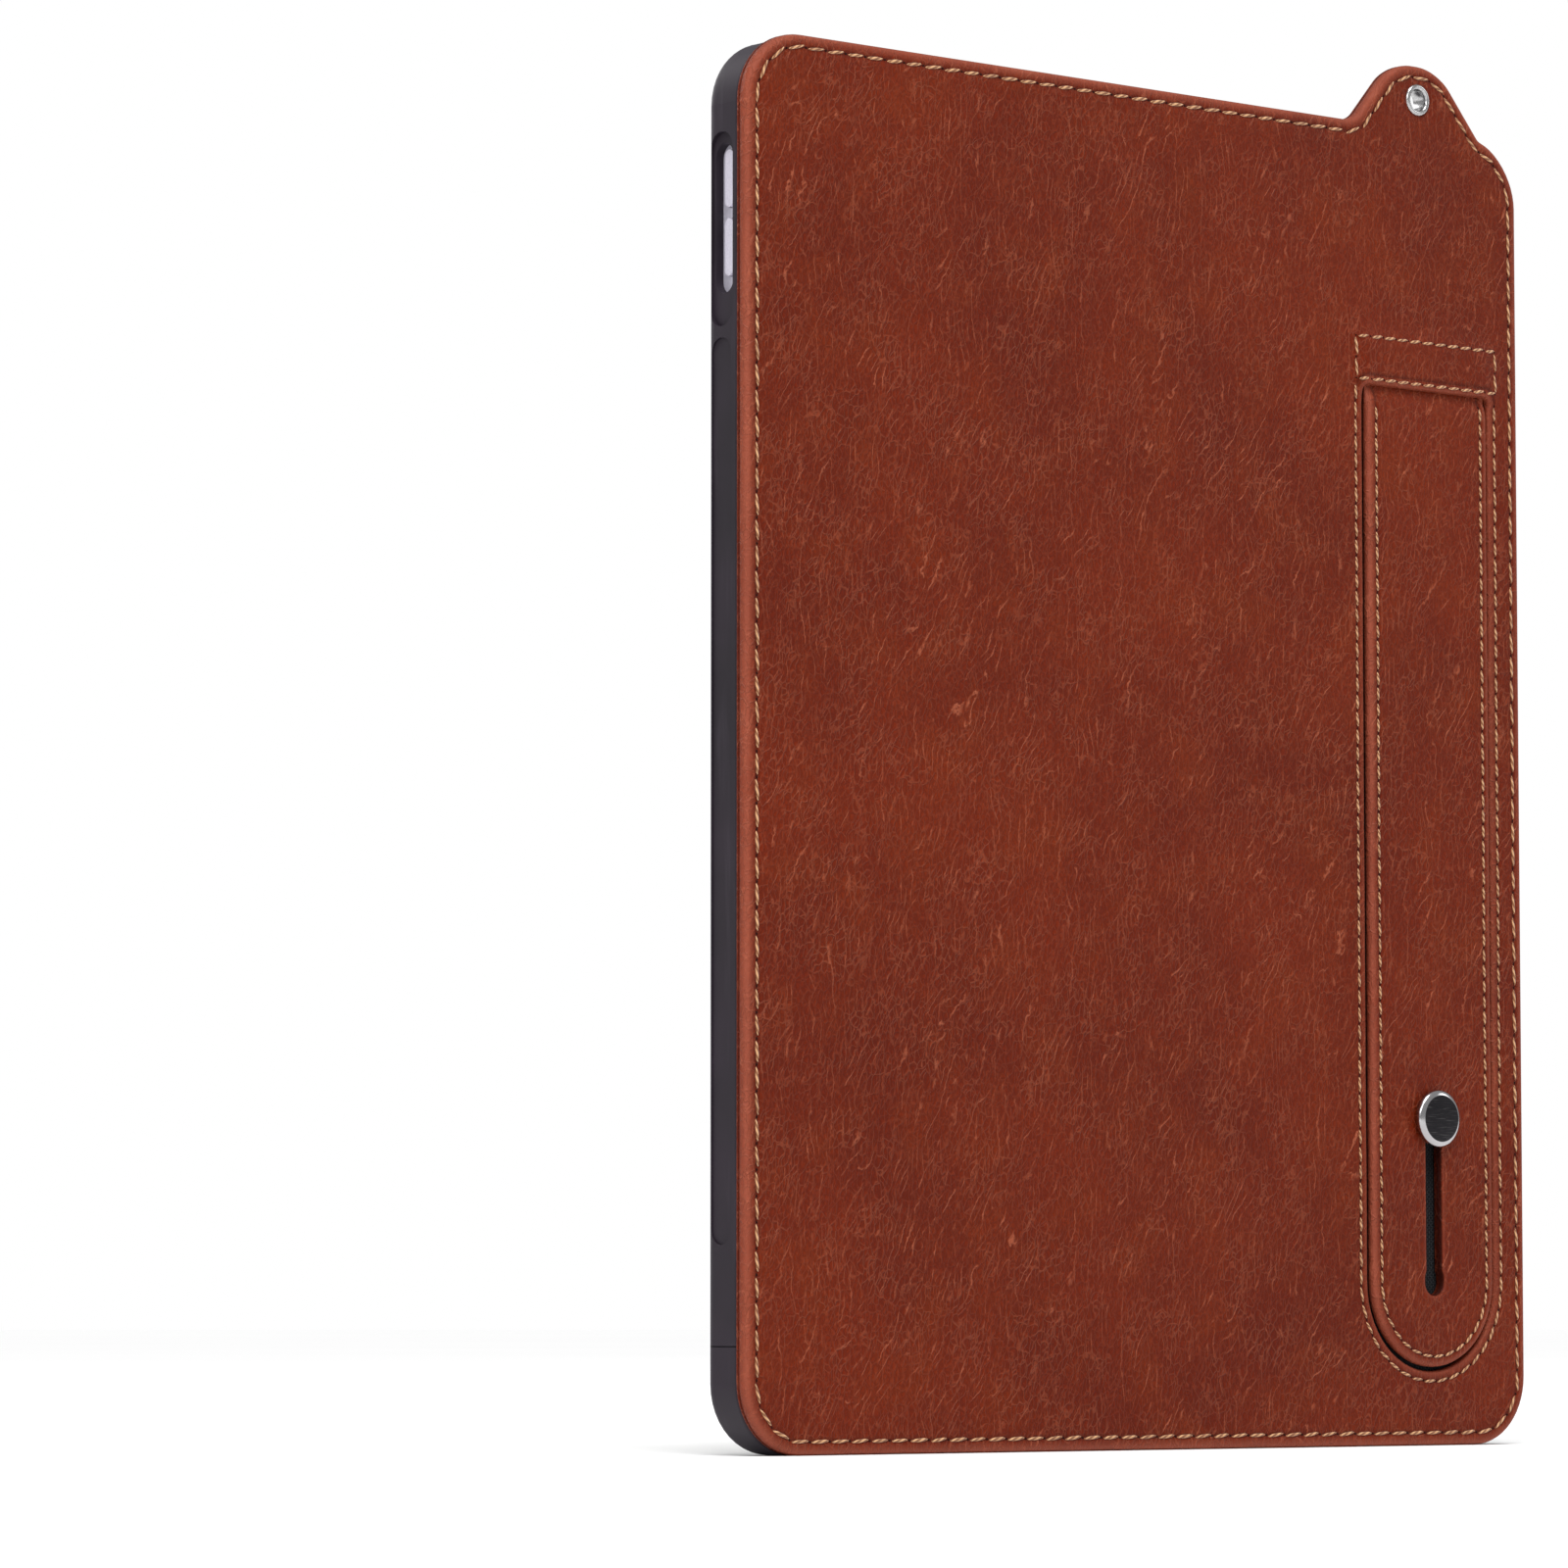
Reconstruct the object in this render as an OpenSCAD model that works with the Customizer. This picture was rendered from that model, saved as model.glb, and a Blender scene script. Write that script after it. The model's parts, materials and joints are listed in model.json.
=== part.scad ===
// E-reader in a two-layer case: a flexible shell with a leather back and a sliding hand strap.
// Upright, +Z up. The page faces -Y, the leather back faces +Y, the origin is under its middle.

/* [Case] */
// Width of the leather back
panel_w = 194; // [190:0.5:198]
// Height of the leather back without its tab
panel_h = 253; // [250:0.5:256]
// Radius of the leather back's corners
panel_r = 13; // [11:0.5:15]
// Thickness of the leather back
panel_t = 3; // [2.8:0.1:3.4]
// How far the leather stands past the shell at the sides and top
panel_lap = 0.5; // [0.3:0.1:0.8]
// Depth of the shell from its lip to the leather
shell_d = 9.2; // [9.2:0.1:9.8]
// Thickness of the shell's side wall
shell_wall = 2.5; // [2.2:0.1:2.8]
// Thickness of the shell's back wall
shell_back = 1.5; // [1.3:0.1:1.7]
// How far the lip reaches over the device
lip_w = 1.2; // [0.8:0.1:1.5]
// Thickness of the stiffening board under the leather
board_t = 0.8; // [0.6:0.1:1]
// Thickness of the woven lining in the strap's recess
lining_t = 0.3; // [0.2:0.1:0.4]

/* [Tab] */
// Distance of the tab from the middle
tab_x = 70; // [69:0.2:71]
// Height of the tab above the leather back
tab_rise = 12.4; // [11:0.2:13]
// Width of the tab's top before its corners are rounded
tab_top_w = 12; // [11:0.5:13]
// Width of the tab where it leaves the leather back
tab_foot_w = 33.6; // [32:0.2:36]
// Radius of the tab's top corners
tab_corner_r = 11; // [6:0.5:11.5]
// Hollow radius where the tab meets the top edge
tab_foot_r = 5; // [3:0.5:6]
// Height of the eyelet above the leather back
eyelet_rise = 5.6; // [5:0.1:6]
// Radius of the eyelet's hole
eyelet_r = 2; // [1.8:0.1:2.2]
// Radius of the eyelet's rim
eyelet_rim_r = 3.1; // [3:0.1:3.4]

/* [Strap] */
// Distance of the strap and the stud from the middle
strap_x = 71.6; // [71:0.2:72]
// Width of the strap
strap_w = 31.2; // [29:0.2:32]
// Thickness of the strap
strap_t = 2.4; // [2:0.1:2.6]
// Height of the seam that the strap comes out of
seam_z = 202; // [201:0.5:204]
// Height of the strap's first bend
first_bend_z = 198; // [197:0.5:198]
// Height of the strap's last bend
last_bend_z = 69.6; // [68:0.2:71]
// Gap between the strap and the recess's edge
strap_gap = 1.3; // [1:0.1:1.6]
// Height of the stud
stud_z = 62.1; // [61:0.1:63]
// Distance that the strap slides along the stud
slot_travel = 31.2; // [31:0.1:32]
// Radius of the slot
slot_r = 2.05; // [2:0.05:2.2]
// Radius of the stud's head
stud_head_r = 5.45; // [5:0.05:6]

/* [Device] */
// Thickness of the e-reader
device_t = 6.6; // [6.5:0.1:6.8]
// Width of the page
page_w = 157.2; // [156:0.1:158]
// Height of the page
page_h = 209.6; // [208:0.1:210]
// Width of the bezel on the buttons' side
bezel_narrow = 5.5; // [5.3:0.1:6]
// Height of the bezel above the page
bezel_top = 9; // [8.5:0.1:10]
// Thickness of the housing's walls
housing_wall = 1.2; // [1:0.1:1.3]
// Length of a volume button
volume_len = 10.3; // [10:0.1:11]
// Length of the power button
power_len = 13.3; // [13:0.1:14]
// Width of the buttons
button_w = 2.4; // [2.2:0.1:2.5]

/* [Hidden] */
$fn = 48;
eps = 0.01;

// Depths along Y, from the lip at the front to the stud at the back
stud_rise = 3;
front_y = -(shell_d + panel_t + stud_rise) / 2;
back_y = front_y + shell_d;
leather_y = back_y + panel_t;
stud_top_y = leather_y + stud_rise;
eyelet_z = panel_h + eyelet_rise;
eyelet_wall = 0.35;
washer_t = 0.35;
rim_h = 0.45;
stud_post_r = 1.75;
stud_base_r = 4.5;
stud_base_t = 0.5;
board_y = back_y + board_t;
lining_y = board_y + lining_t;
strap_lift_gap = 0.3;
strap_y = lining_y + strap_lift_gap;
strap_mid_y = strap_y + strap_t / 2;
strap_top_y = strap_y + strap_t;
housing_back_y = back_y - shell_back;
glass_front_y = housing_back_y - device_t;

// Shell and device outlines
shell_w = panel_w - 2 * panel_lap;
shell_h = panel_h - panel_lap;
shell_r = panel_r - panel_lap;
device_w = shell_w - 2 * shell_wall;
device_h = shell_h - 2 * shell_wall;
device_r = shell_r - shell_wall;
device_z = shell_wall;
device_top = device_z + device_h;
side_x = device_w / 2;

// Strap bends: equal links between the first and the last bend
link_count = 12;
link_len = (first_bend_z - last_bend_z) / link_count;
bend_gap = 0.15;
nose_r = strap_t / 2;
strap_end_z = stud_z - slot_travel;
recess_r = strap_w / 2 + strap_gap;
lining_margin = 5;
turned_edge = 2;
tail_len = 11;
tail_w = 28;
tail_t = 0.9;

// Buttons: centres and running gaps
button_y = glass_front_y + device_t / 2;
button_gap = 0.1;
button_out = 0.7;
flange_t = 0.5;
flange_lap = 0.55;
flange_gap = 0.1;
volume_up_z = 226.8;
volume_down_z = 214.4;
power_x = 77.4;
window_w = 4.8;
volume_window = [206, 233];
power_window = [63.5, 86.5];
speaker_window = [27.8, 61.3];
relief = [37, 198];
slit_z = 19;
usb_x = 0;
usb_window_w = 14.4;
usb_window_h = 6;

// Layers of the device, front to back
rim_t = 1.3;
glass_gap = 0.1;
glass_t = 0.8;
gasket_t = 0.1;
touch_t = 0.15;
guide_t = 0.45;
panel_layer_t = 0.7;
digitizer_t = 0.35;
frame_t = 0.6;
glass_y = glass_front_y + glass_gap;
gasket_y = glass_y + glass_t;
touch_y = gasket_y;
guide_y = touch_y + touch_t;
display_y = guide_y + guide_t;
digitizer_y = display_y + panel_layer_t;
frame_y = digitizer_y + digitizer_t;
board_front_y = frame_y + frame_t;
floor_y = housing_back_y - housing_wall;
page_x0 = side_x - bezel_narrow - page_w;
page_x1 = side_x - bezel_narrow;
page_z1 = device_top - bezel_top;
page_z0 = page_z1 - page_h;
inner_x = side_x - rim_t;
pcb_t = 0.8;
pcb_y = board_front_y + pcb_t;
screw_head_r = 1.2;
screw_r = 0.7;
screw_x = side_x - 2.9;
screw_heights = [16, 92, 168, 190];

// Extrudes an XZ drawing along Y, from y0 to y1
module slab(y0, y1) {
    translate([0, y1, 0])
        rotate([90, 0, 0])
            linear_extrude(y1 - y0)
                children();
}

// Rounded rectangle in XZ between two corners
module rounded_rect(x0, z0, x1, z1, r) {
    translate([x0 + r, z0]) square([x1 - x0 - 2 * r, z1 - z0]);
    translate([x0, z0 + r]) square([x1 - x0, z1 - z0 - 2 * r]);
    for (x = [x0 + r, x1 - r], z = [z0 + r, z1 - r]) translate([x, z]) circle(r);
}

// Outline that stands on z0 and is centred on X
module centred_rect(w, z0, h, r) {
    rounded_rect(-w / 2, z0, w / 2, z0 + h, r);
}

// Slot with round ends, from a to b, in the plane it is drawn in
module oblong(a, b, r) {
    along_x = a[1] == b[1];
    size = along_x ? [b[0] - a[0], 2 * r] : [2 * r, b[1] - a[1]];
    corner = along_x ? [a[0], a[1] - r] : [a[0] - r, a[1]];
    translate(corner) square(size);
    for (p = [a, b]) translate(p) circle(r);
}

// Sweeps a profile, drawn as (outward, y), round an upright rounded rectangle
module edge_sweep(w, h, r) {
    for (side = [0, 1])
        mirror([side, 0, 0]) {
            translate([w / 2, 0, r]) linear_extrude(h - 2 * r) children();
            for (end = [0, 1])
                translate([0, 0, end * h]) mirror([0, 0, end])
                    translate([w / 2 - r, 0, r]) rotate([-90, 0, 0])
                        rotate_extrude(angle = 90) translate([r, 0]) children();
        }
    for (end = [0, 1])
        translate([0, 0, end * h]) mirror([0, 0, end])
            translate([-(w / 2 - r), 0, 0]) rotate([0, 90, 0])
                linear_extrude(w - 2 * r) children();
}

// Points of an arc about c, from angle a0 to a1
function arc(c, r, a0, a1, steps = 5) =
    [for (i = [0:steps]) c + r * [cos(a0 + (a1 - a0) * i / steps), sin(a0 + (a1 - a0) * i / steps)]];

// Turns a polygon's corner b into an arc of radius r, between its neighbours a and c
function rounded_corner(a, b, c, r) =
    let (
        u = (a - b) / norm(a - b),
        v = (c - b) / norm(c - b),
        half = acos(u * v) / 2,
        middle = b + (u + v) / norm(u + v) * r / sin(half),
        start = b + u * r / tan(half) - middle,
        stop = b + v * r / tan(half) - middle,
        a0 = atan2(start[1], start[0]),
        turn = atan2(stop[1], stop[0]) - a0,
        a1 = a0 + turn - 360 * round(turn / 360)
    )
    arc(middle, r, a0, a1, 8);

// Leather back's outline in XZ: the outer flank of its tab runs into the panel's round corner
module panel_outline() {
    slope = tab_rise / ((tab_foot_w - tab_top_w) / 2);
    run_on = 4;
    foot_out = [-tab_x - tab_foot_w / 2 - run_on, panel_h - run_on * slope];
    top_out = [-tab_x - tab_top_w / 2, panel_h + tab_rise];
    top_in = [-tab_x + tab_top_w / 2, panel_h + tab_rise];
    foot_in = [-tab_x + tab_foot_w / 2, panel_h];
    edge_in = [foot_in[0] + run_on, panel_h];
    centred_rect(panel_w, 0, panel_h, panel_r);
    polygon(concat(
        [foot_out],
        rounded_corner(foot_out, top_out, top_in, tab_corner_r),
        rounded_corner(top_out, top_in, foot_in, tab_corner_r),
        rounded_corner(top_in, foot_in, edge_in, tab_foot_r),
        [edge_in, [edge_in[0], panel_h - 20], [foot_out[0], panel_h - 20]]
    ));
}

// Strap recess: open at the seam, half round at its lower end
module recess_outline(grow = 0) {
    r = recess_r + grow;
    translate([-strap_x - r, strap_end_z]) square([2 * r, seam_z - strap_end_z + grow]);
    translate([-strap_x, strap_end_z]) circle(r);
}

// Through cutter for a window in the side wall, long in Z
module side_window(z0, z1, w, x0, x1) {
    r = w / 2;
    translate([x0, 0, 0]) rotate([90, 0, 90]) linear_extrude(x1 - x0)
        oblong([button_y, z0 + r], [button_y, z1 - r], r);
}

// Through cutter for a window in the top wall, long in X
module top_window(x0, x1, w, z0, z1) {
    r = w / 2;
    translate([0, 0, z0]) linear_extrude(z1 - z0)
        oblong([x0 + r, button_y], [x1 - r, button_y], r);
}

module case_shell() {
    lip_t = glass_front_y - front_y;
    outer_r = 2.4;
    inner = -8;
    wall = concat(
        [[inner, back_y]],
        arc([-0.8, back_y - 0.8], 0.8, 90, 0, 6),
        arc([-outer_r, front_y + outer_r], outer_r, 0, -90, 14),
        [[-shell_wall - lip_w + 0.4, front_y], [-shell_wall - lip_w, front_y + 0.4],
         [-shell_wall - lip_w, front_y + lip_t], [-shell_wall, front_y + lip_t],
         [-shell_wall, housing_back_y], [inner, housing_back_y]]
    );
    out_x = shell_w / 2;
    scoop = 0.8;
    color("#37313a") difference() {
        union() {
            edge_sweep(shell_w, shell_h, shell_r) polygon(wall);
            slab(housing_back_y, back_y)
                centred_rect(shell_w + 2 * inner + 2, -inner - 1, shell_h + 2 * inner + 2, shell_r + inner + 1);
        }
        side_window(volume_window[0], volume_window[1], window_w, side_x - 1, out_x + 1);
        side_window(volume_window[0] - 6, volume_window[1] + 2, window_w + 1.6, out_x - scoop, out_x + 1);
        top_window(power_window[0], power_window[1], window_w, device_top - 1, shell_h + 1);
        top_window(power_window[0] - 2, power_window[1] + 2, window_w + 1.6, shell_h - scoop, shell_h + 1);
        for (side = [0, 1])
            mirror([side, 0, 0])
                top_window(speaker_window[0], speaker_window[1], 3.4, device_top - 1, shell_h + 1);
        for (x = [-7.4, 0, 7.4])
            translate([x, button_y, device_top - 1]) cylinder(r = 1.5, h = 2 + shell_wall);
        top_window(usb_x - usb_window_w / 2, usb_x + usb_window_w / 2, usb_window_h, -1, device_z + 1);
        translate([-out_x - 1, button_y, shell_h / 2]) rotate([0, 90, 0]) cylinder(r = 1.5, h = 2 + shell_wall);
        // Shallow relief below the volume window, and a moulding slit near the lower corner
        side_window(relief[0], relief[1], window_w + 0.6, out_x - 0.35, out_x + 1);
        translate([out_x - 0.4, front_y - 1, slit_z]) cube([1, shell_d + 2, 0.3]);
    }
}

// The board stops short of the leather's turned edge
module board_outline() {
    centred_rect(panel_w - 2 * turned_edge, turned_edge, panel_h - 2 * turned_edge, panel_r - turned_edge);
}

module stiffener_board() {
    color("#6b655c") difference() {
        slab(back_y, board_y) board_outline();
        translate([-strap_x, back_y - eps, stud_z]) rotate([-90, 0, 0]) cylinder(r = stud_base_r, h = stud_base_t + eps);
        translate([-strap_x, back_y, stud_z]) rotate([-90, 0, 0]) cylinder(r = stud_post_r, h = 2);
    }
}

module recess_lining() {
    color("#1b1c20") difference() {
        slab(board_y, lining_y) recess_outline(grow = lining_margin);
        translate([-strap_x, board_y - 1, stud_z]) rotate([-90, 0, 0]) cylinder(r = stud_post_r, h = 3);
    }
}

module leather_back() {
    color("#84402b") difference() {
        slab(back_y, leather_y) panel_outline();
        slab(back_y - 1, board_y) board_outline();
        slab(board_y - eps, lining_y) recess_outline(grow = lining_margin);
        slab(board_y, leather_y + 1) recess_outline();
        slab(lining_y - eps, lining_y + tail_t)
            translate([-strap_x - tail_w / 2, seam_z - 1]) square([tail_w, tail_len + 1]);
        slab(back_y - 1, back_y + 1) tab_area();
        translate([-tab_x, back_y, eyelet_z]) rotate([-90, 0, 0]) cylinder(r = eyelet_r + eyelet_wall, h = panel_t + 1);
    }
}

// The part of the tab that stands above the shell
module tab_area() {
    intersection() {
        panel_outline();
        translate([-panel_w / 2, panel_h + 0.2]) square([60, tab_rise + 1]);
    }
}

module tab_lining() {
    color("#7b3a27") difference() {
        slab(back_y, back_y + 1) tab_area();
        translate([-tab_x, back_y - 1, eyelet_z]) rotate([-90, 0, 0]) cylinder(r = eyelet_r + eyelet_wall, h = 3);
    }
}

module eyelet_barrel() {
    color("#c9c9cc") translate([-tab_x, 0, eyelet_z]) rotate([-90, 0, 0]) rotate_extrude() polygon([
        [eyelet_r, back_y - washer_t], [eyelet_r + eyelet_wall, back_y - washer_t],
        [eyelet_r + eyelet_wall, leather_y], [eyelet_rim_r, leather_y],
        [eyelet_rim_r - 0.3, leather_y + rim_h], [eyelet_r, leather_y + rim_h]
    ]);
}

module eyelet_washer() {
    color("#bdbdc0") translate([-tab_x, 0, eyelet_z]) rotate([-90, 0, 0]) rotate_extrude() polygon([
        [eyelet_r + eyelet_wall, back_y - washer_t], [eyelet_rim_r - 0.2, back_y - washer_t],
        [eyelet_rim_r, back_y], [eyelet_r + eyelet_wall, back_y]
    ]);
}

module stud_head() {
    under = strap_top_y + strap_lift_gap;
    color("#b9b8b6") translate([-strap_x, 0, stud_z]) rotate([-90, 0, 0]) rotate_extrude() polygon([
        [0, under], [stud_head_r - 0.2, under], [stud_head_r, under + 0.25],
        [stud_head_r, under + 0.9], [stud_head_r - 0.9, stud_top_y], [0, stud_top_y]
    ]);
}

module stud_post() {
    under = strap_top_y + strap_lift_gap;
    color("#a9a8a6") translate([-strap_x, 0, stud_z]) rotate([-90, 0, 0]) rotate_extrude() polygon([
        [0, back_y], [stud_base_r, back_y], [stud_base_r, back_y + stud_base_t],
        [stud_post_r, back_y + stud_base_t], [stud_post_r, under], [0, under]
    ]);
}

// Sewn end of the strap: a pared tongue under the leather and a full edge at the first bend
module strap_tail() {
    edge_z = first_bend_z + nose_r + bend_gap;
    color("#84402b") translate([-strap_x, 0, 0]) {
        translate([-tail_w / 2, lining_y, seam_z - 1]) cube([tail_w, tail_t, tail_len + 1]);
        translate([-strap_w / 2, strap_y, edge_z]) cube([strap_w, strap_t, seam_z - 0.2 - edge_z]);
    }
}

// Height of bend number i, counted down from the seam
function bend_z(i) = first_bend_z - link_len * i;

// One link of the strap: a round nose on its upper bend, a flat edge above its lower bend
module strap_link(i) {
    top = bend_z(i - 1);
    low = bend_z(i) + nose_r + bend_gap;
    color("#84402b") translate([-strap_x - strap_w / 2, 0, 0]) {
        translate([0, strap_y, low]) cube([strap_w, strap_t, top - low]);
        translate([0, strap_mid_y, top]) rotate([0, 90, 0]) cylinder(r = nose_r, h = strap_w);
    }
}

module strap_end() {
    top = bend_z(link_count);
    color("#84402b") {
        difference() {
            slab(strap_y, strap_top_y) {
                translate([-strap_x - strap_w / 2, strap_end_z]) square([strap_w, top - strap_end_z]);
                translate([-strap_x, strap_end_z]) circle(strap_w / 2);
            }
            slab(strap_y - 1, strap_top_y + 1) {
                oblong([-strap_x, strap_end_z], [-strap_x, stud_z], slot_r);
                translate([-strap_x, strap_end_z]) circle(2.45);
            }
        }
        translate([-strap_x - strap_w / 2, strap_mid_y, top]) rotate([0, 90, 0])
            cylinder(r = nose_r, h = strap_w);
    }
}

module rear_housing() {
    color("#b9b7bd") difference() {
        slab(glass_front_y, housing_back_y) centred_rect(device_w, device_z, device_h, device_r);
        slab(glass_front_y - 1, floor_y)
            centred_rect(device_w - 2 * rim_t, device_z + rim_t, device_h - 2 * rim_t, device_r - rim_t);
        for (z = [volume_up_z, volume_down_z])
            side_window(z - volume_len / 2 - button_gap, z + volume_len / 2 + button_gap,
                button_w + 2 * button_gap, inner_x - 1, side_x + 1);
        top_window(power_x - power_len / 2 - button_gap, power_x + power_len / 2 + button_gap,
            button_w + 2 * button_gap, device_top - rim_t - 1, device_top + 1);
        for (side = [-1, 1], i = [0:9])
            translate([side * 44.55 + (i - 4.5) * 3, button_y, device_top - rim_t - 1])
                cylinder(r = 0.6, h = rim_t + 2, $fn = 16);
        for (x = [0, 66])
            translate([x, button_y, device_top - rim_t - 1]) cylinder(r = 0.4, h = rim_t + 2, $fn = 16);
        translate([0, 0, device_z - 1]) linear_extrude(rim_t + 2)
            oblong([usb_x - 3.05, button_y], [usb_x + 3.05, button_y], 1.7);
    }
    // Posts that the middle frame is screwed to
    color("#b9b7bd") for (side = [-1, 1], z = screw_heights)
        translate([side * screw_x, board_front_y, z]) rotate([-90, 0, 0]) difference() {
            cylinder(r = 2, h = floor_y - board_front_y + eps);
            translate([0, 0, -eps]) cylinder(r = screw_r, h = floor_y - board_front_y);
        }
}

module cover_glass() {
    gap = 0.1;
    color("#55565a") slab(glass_y, glass_y + glass_t)
        centred_rect(device_w - 2 * rim_t - 2 * gap, device_z + rim_t + gap,
            device_h - 2 * rim_t - 2 * gap, device_r - rim_t);
}

module glass_gasket() {
    inset = 0.3;
    width = 1.6;
    step = inset + width;
    color("#202024") slab(gasket_y, gasket_y + gasket_t) difference() {
        centred_rect(2 * (inner_x - inset), device_z + rim_t + inset,
            device_h - 2 * rim_t - 2 * inset, device_r - rim_t);
        centred_rect(2 * (inner_x - step), device_z + rim_t + step,
            device_h - 2 * rim_t - 2 * step, device_r - rim_t - width);
    }
}

// A flat layer behind the page, larger than the page by the margin on each side
module page_layer(y, t, margin) {
    slab(y, y + t) translate([page_x0 - margin, page_z0 - margin])
        square([page_w + 2 * margin, page_h + 2 * margin]);
}

module touch_sensor() {
    color("#7fa0a8") page_layer(touch_y, touch_t, 1.5);
}

module frontlight_guide() {
    color("#cfe3ea") page_layer(guide_y, guide_t, 1.5);
}

module led_strip() {
    color("#e9d48a") slab(guide_y, guide_y + guide_t) {
        translate([page_x0, page_z0 - 4.7]) square([page_w, 2.6]);
        translate([page_x0 + page_w - 18, page_z0 - 9]) square([8, 4.5]);
    }
}

module display_panel() {
    color("#e6e4dd") {
        page_layer(display_y, panel_layer_t, 1.5);
        slab(display_y + panel_layer_t - 0.3, display_y + panel_layer_t)
            translate([page_x0, page_z0 - 7]) square([page_w, 7]);
    }
}

module pen_digitizer() {
    color("#3a6b4a") page_layer(digitizer_y, digitizer_t, 1);
}

module mid_frame() {
    edge = 0.4;
    color("#9fa1a5") difference() {
        slab(frame_y, frame_y + frame_t)
            centred_rect(2 * (inner_x - edge), device_z + rim_t + edge,
                device_h - 2 * rim_t - 2 * edge, device_r - rim_t);
        // Room for the buttons, the socket, the flexible leads and the speakers
        translate([side_x - 4, frame_y - 1, volume_down_z - 9]) cube([4, 3, 30]);
        translate([power_x - 10, frame_y - 1, device_top - 6]) cube([20, 3, 6]);
        translate([usb_x - 5.5, frame_y - 1, device_z]) cube([11, 3, 11]);
        translate([usb_x + 24, frame_y - 1, page_z0 - 9.5]) cube([34, 3, 6]);
        for (x = [-30, 30]) translate([x - 22, frame_y - 1, 90]) cube([44, 3, 8]);
        for (side = [-1, 1], z = screw_heights)
            translate([side * screw_x, frame_y - 1, z]) rotate([-90, 0, 0]) cylinder(r = screw_r + 0.1, h = 3);
    }
}

// Screws that hold the middle frame on the housing's posts
module frame_screws() {
    head_t = 0.35;
    color("#77787c") for (side = [-1, 1], z = screw_heights)
        translate([side * screw_x, frame_y - head_t, z]) rotate([-90, 0, 0]) {
            cylinder(r = screw_head_r, h = head_t);
            cylinder(r = screw_r, h = 2.4);
        }
}

module battery() {
    gap = 0.1;
    color("#2c2d31") slab(board_front_y + gap, floor_y - gap) rounded_rect(-62, 104, 40, 196, 2);
}

module battery_cable() {
    color("#a33b32") translate([-20, board_front_y + 0.3, 79]) {
        translate([0, 0, 0]) cube([6, 1.2, 3]);
        translate([1.4, 0.2, 3]) cube([3.2, 0.7, 22]);
    }
}

module main_board() {
    color("#1f5a3c") slab(board_front_y, pcb_y) difference() {
        rounded_rect(-80, 12, 80, 78.9, 2);
        translate([-5, 11]) square([10, 9]);
    }
}

// A chip on the back of the main board
module chip(x, z, w, h, t) {
    slab(pcb_y, pcb_y + t) translate([x, z]) square([w, h]);
}

module processor() {
    color("#17181b") chip(-12, 46, 13, 13, 0.7);
}

module memory_chip() {
    color("#1b1b1f") chip(5, 46, 11, 11.5, 0.7);
}

module wireless_module() {
    color("#8f9094") chip(52, 60, 14, 12, 0.9);
}

module shield_can() {
    color("#c4c5c8") difference() {
        slab(pcb_y, pcb_y + 1.1) rounded_rect(-16, 42, 20, 63, 1);
        slab(pcb_y - 1, pcb_y + 0.9) rounded_rect(-15.8, 42.2, 19.8, 62.8, 0.8);
    }
}

module usb_port() {
    depth = 7.3;
    color("#b5b6ba") translate([0, 0, device_z + rim_t]) difference() {
        linear_extrude(depth) oblong([usb_x - 2.85, button_y], [usb_x + 2.85, button_y], 1.6);
        translate([0, 0, -1]) linear_extrude(depth) difference() {
            oblong([usb_x - 2.85, button_y], [usb_x + 2.85, button_y], 1.3);
            translate([usb_x - 3.3, button_y - 0.35]) square([6.6, 0.7]);
        }
    }
}

// Flat lead that folds from the display's foot through the frame to the main board
module display_flex() {
    z = page_z0 - 7.8;
    color("#c8742c") translate([usb_x + 26, 0, 0]) {
        translate([0, digitizer_y - 0.3, z]) cube([30, 0.25, 0.8]);
        translate([0, digitizer_y - 0.3, z - 0.25]) cube([30, board_front_y - digitizer_y + 0.3, 0.25]);
    }
}

module antenna_flex() {
    color("#b58a3e") slab(floor_y - 0.3, floor_y) translate([-50, device_top - 20]) square([100, 6]);
}

// Flat speaker box that fires up through the openings in the top edge
module speaker(side) {
    gap = 0.1;
    color("#26272b") slab(board_front_y + gap, floor_y - gap)
        rounded_rect(side * 44.55 - 15, device_top - rim_t - 11, side * 44.55 + 15, device_top - rim_t - 0.4, 1);
}

module speaker_left() {
    speaker(-1);
}

module speaker_right() {
    speaker(1);
}

module microphone() {
    color("#c2b26a") for (x = [0, 66])
        translate([x - 1.5, button_y - 0.1, device_top - rim_t - 2.4]) cube([3, 1.1, 2]);
}

// Oval button on the +X side, with a flange that holds it behind the housing's wall
module volume_button(z) {
    half = volume_len / 2;
    inner = inner_x - flange_gap - flange_t;
    color("#d6d1de") {
        side_window(z - half, z + half, button_w, inner, side_x + button_out);
        side_window(z - half - flange_lap, z + half + flange_lap, button_w + 2 * flange_lap,
            inner, inner + flange_t);
    }
}

module volume_up_button() {
    volume_button(volume_up_z);
}

module volume_down_button() {
    volume_button(volume_down_z);
}

// Two dome switches on a strip behind the volume buttons
module volume_switches() {
    face = inner_x - flange_gap - flange_t - 0.4;
    color("#caa94a") {
        translate([face - 0.7, button_y - 1, volume_down_z - 4]) cube([0.3, 2, 20.4]);
        for (z = [volume_up_z, volume_down_z])
            translate([face - 0.4, button_y, z]) rotate([0, 90, 0]) cylinder(r = 0.9, h = 0.4);
    }
}

module power_button() {
    half = power_len / 2;
    inner = device_top - rim_t - flange_gap - flange_t;
    color("#d6d1de") {
        top_window(power_x - half, power_x + half, button_w, inner, device_top + button_out);
        top_window(power_x - half - flange_lap, power_x + half + flange_lap, button_w + 2 * flange_lap,
            inner, inner + flange_t);
    }
}

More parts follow.
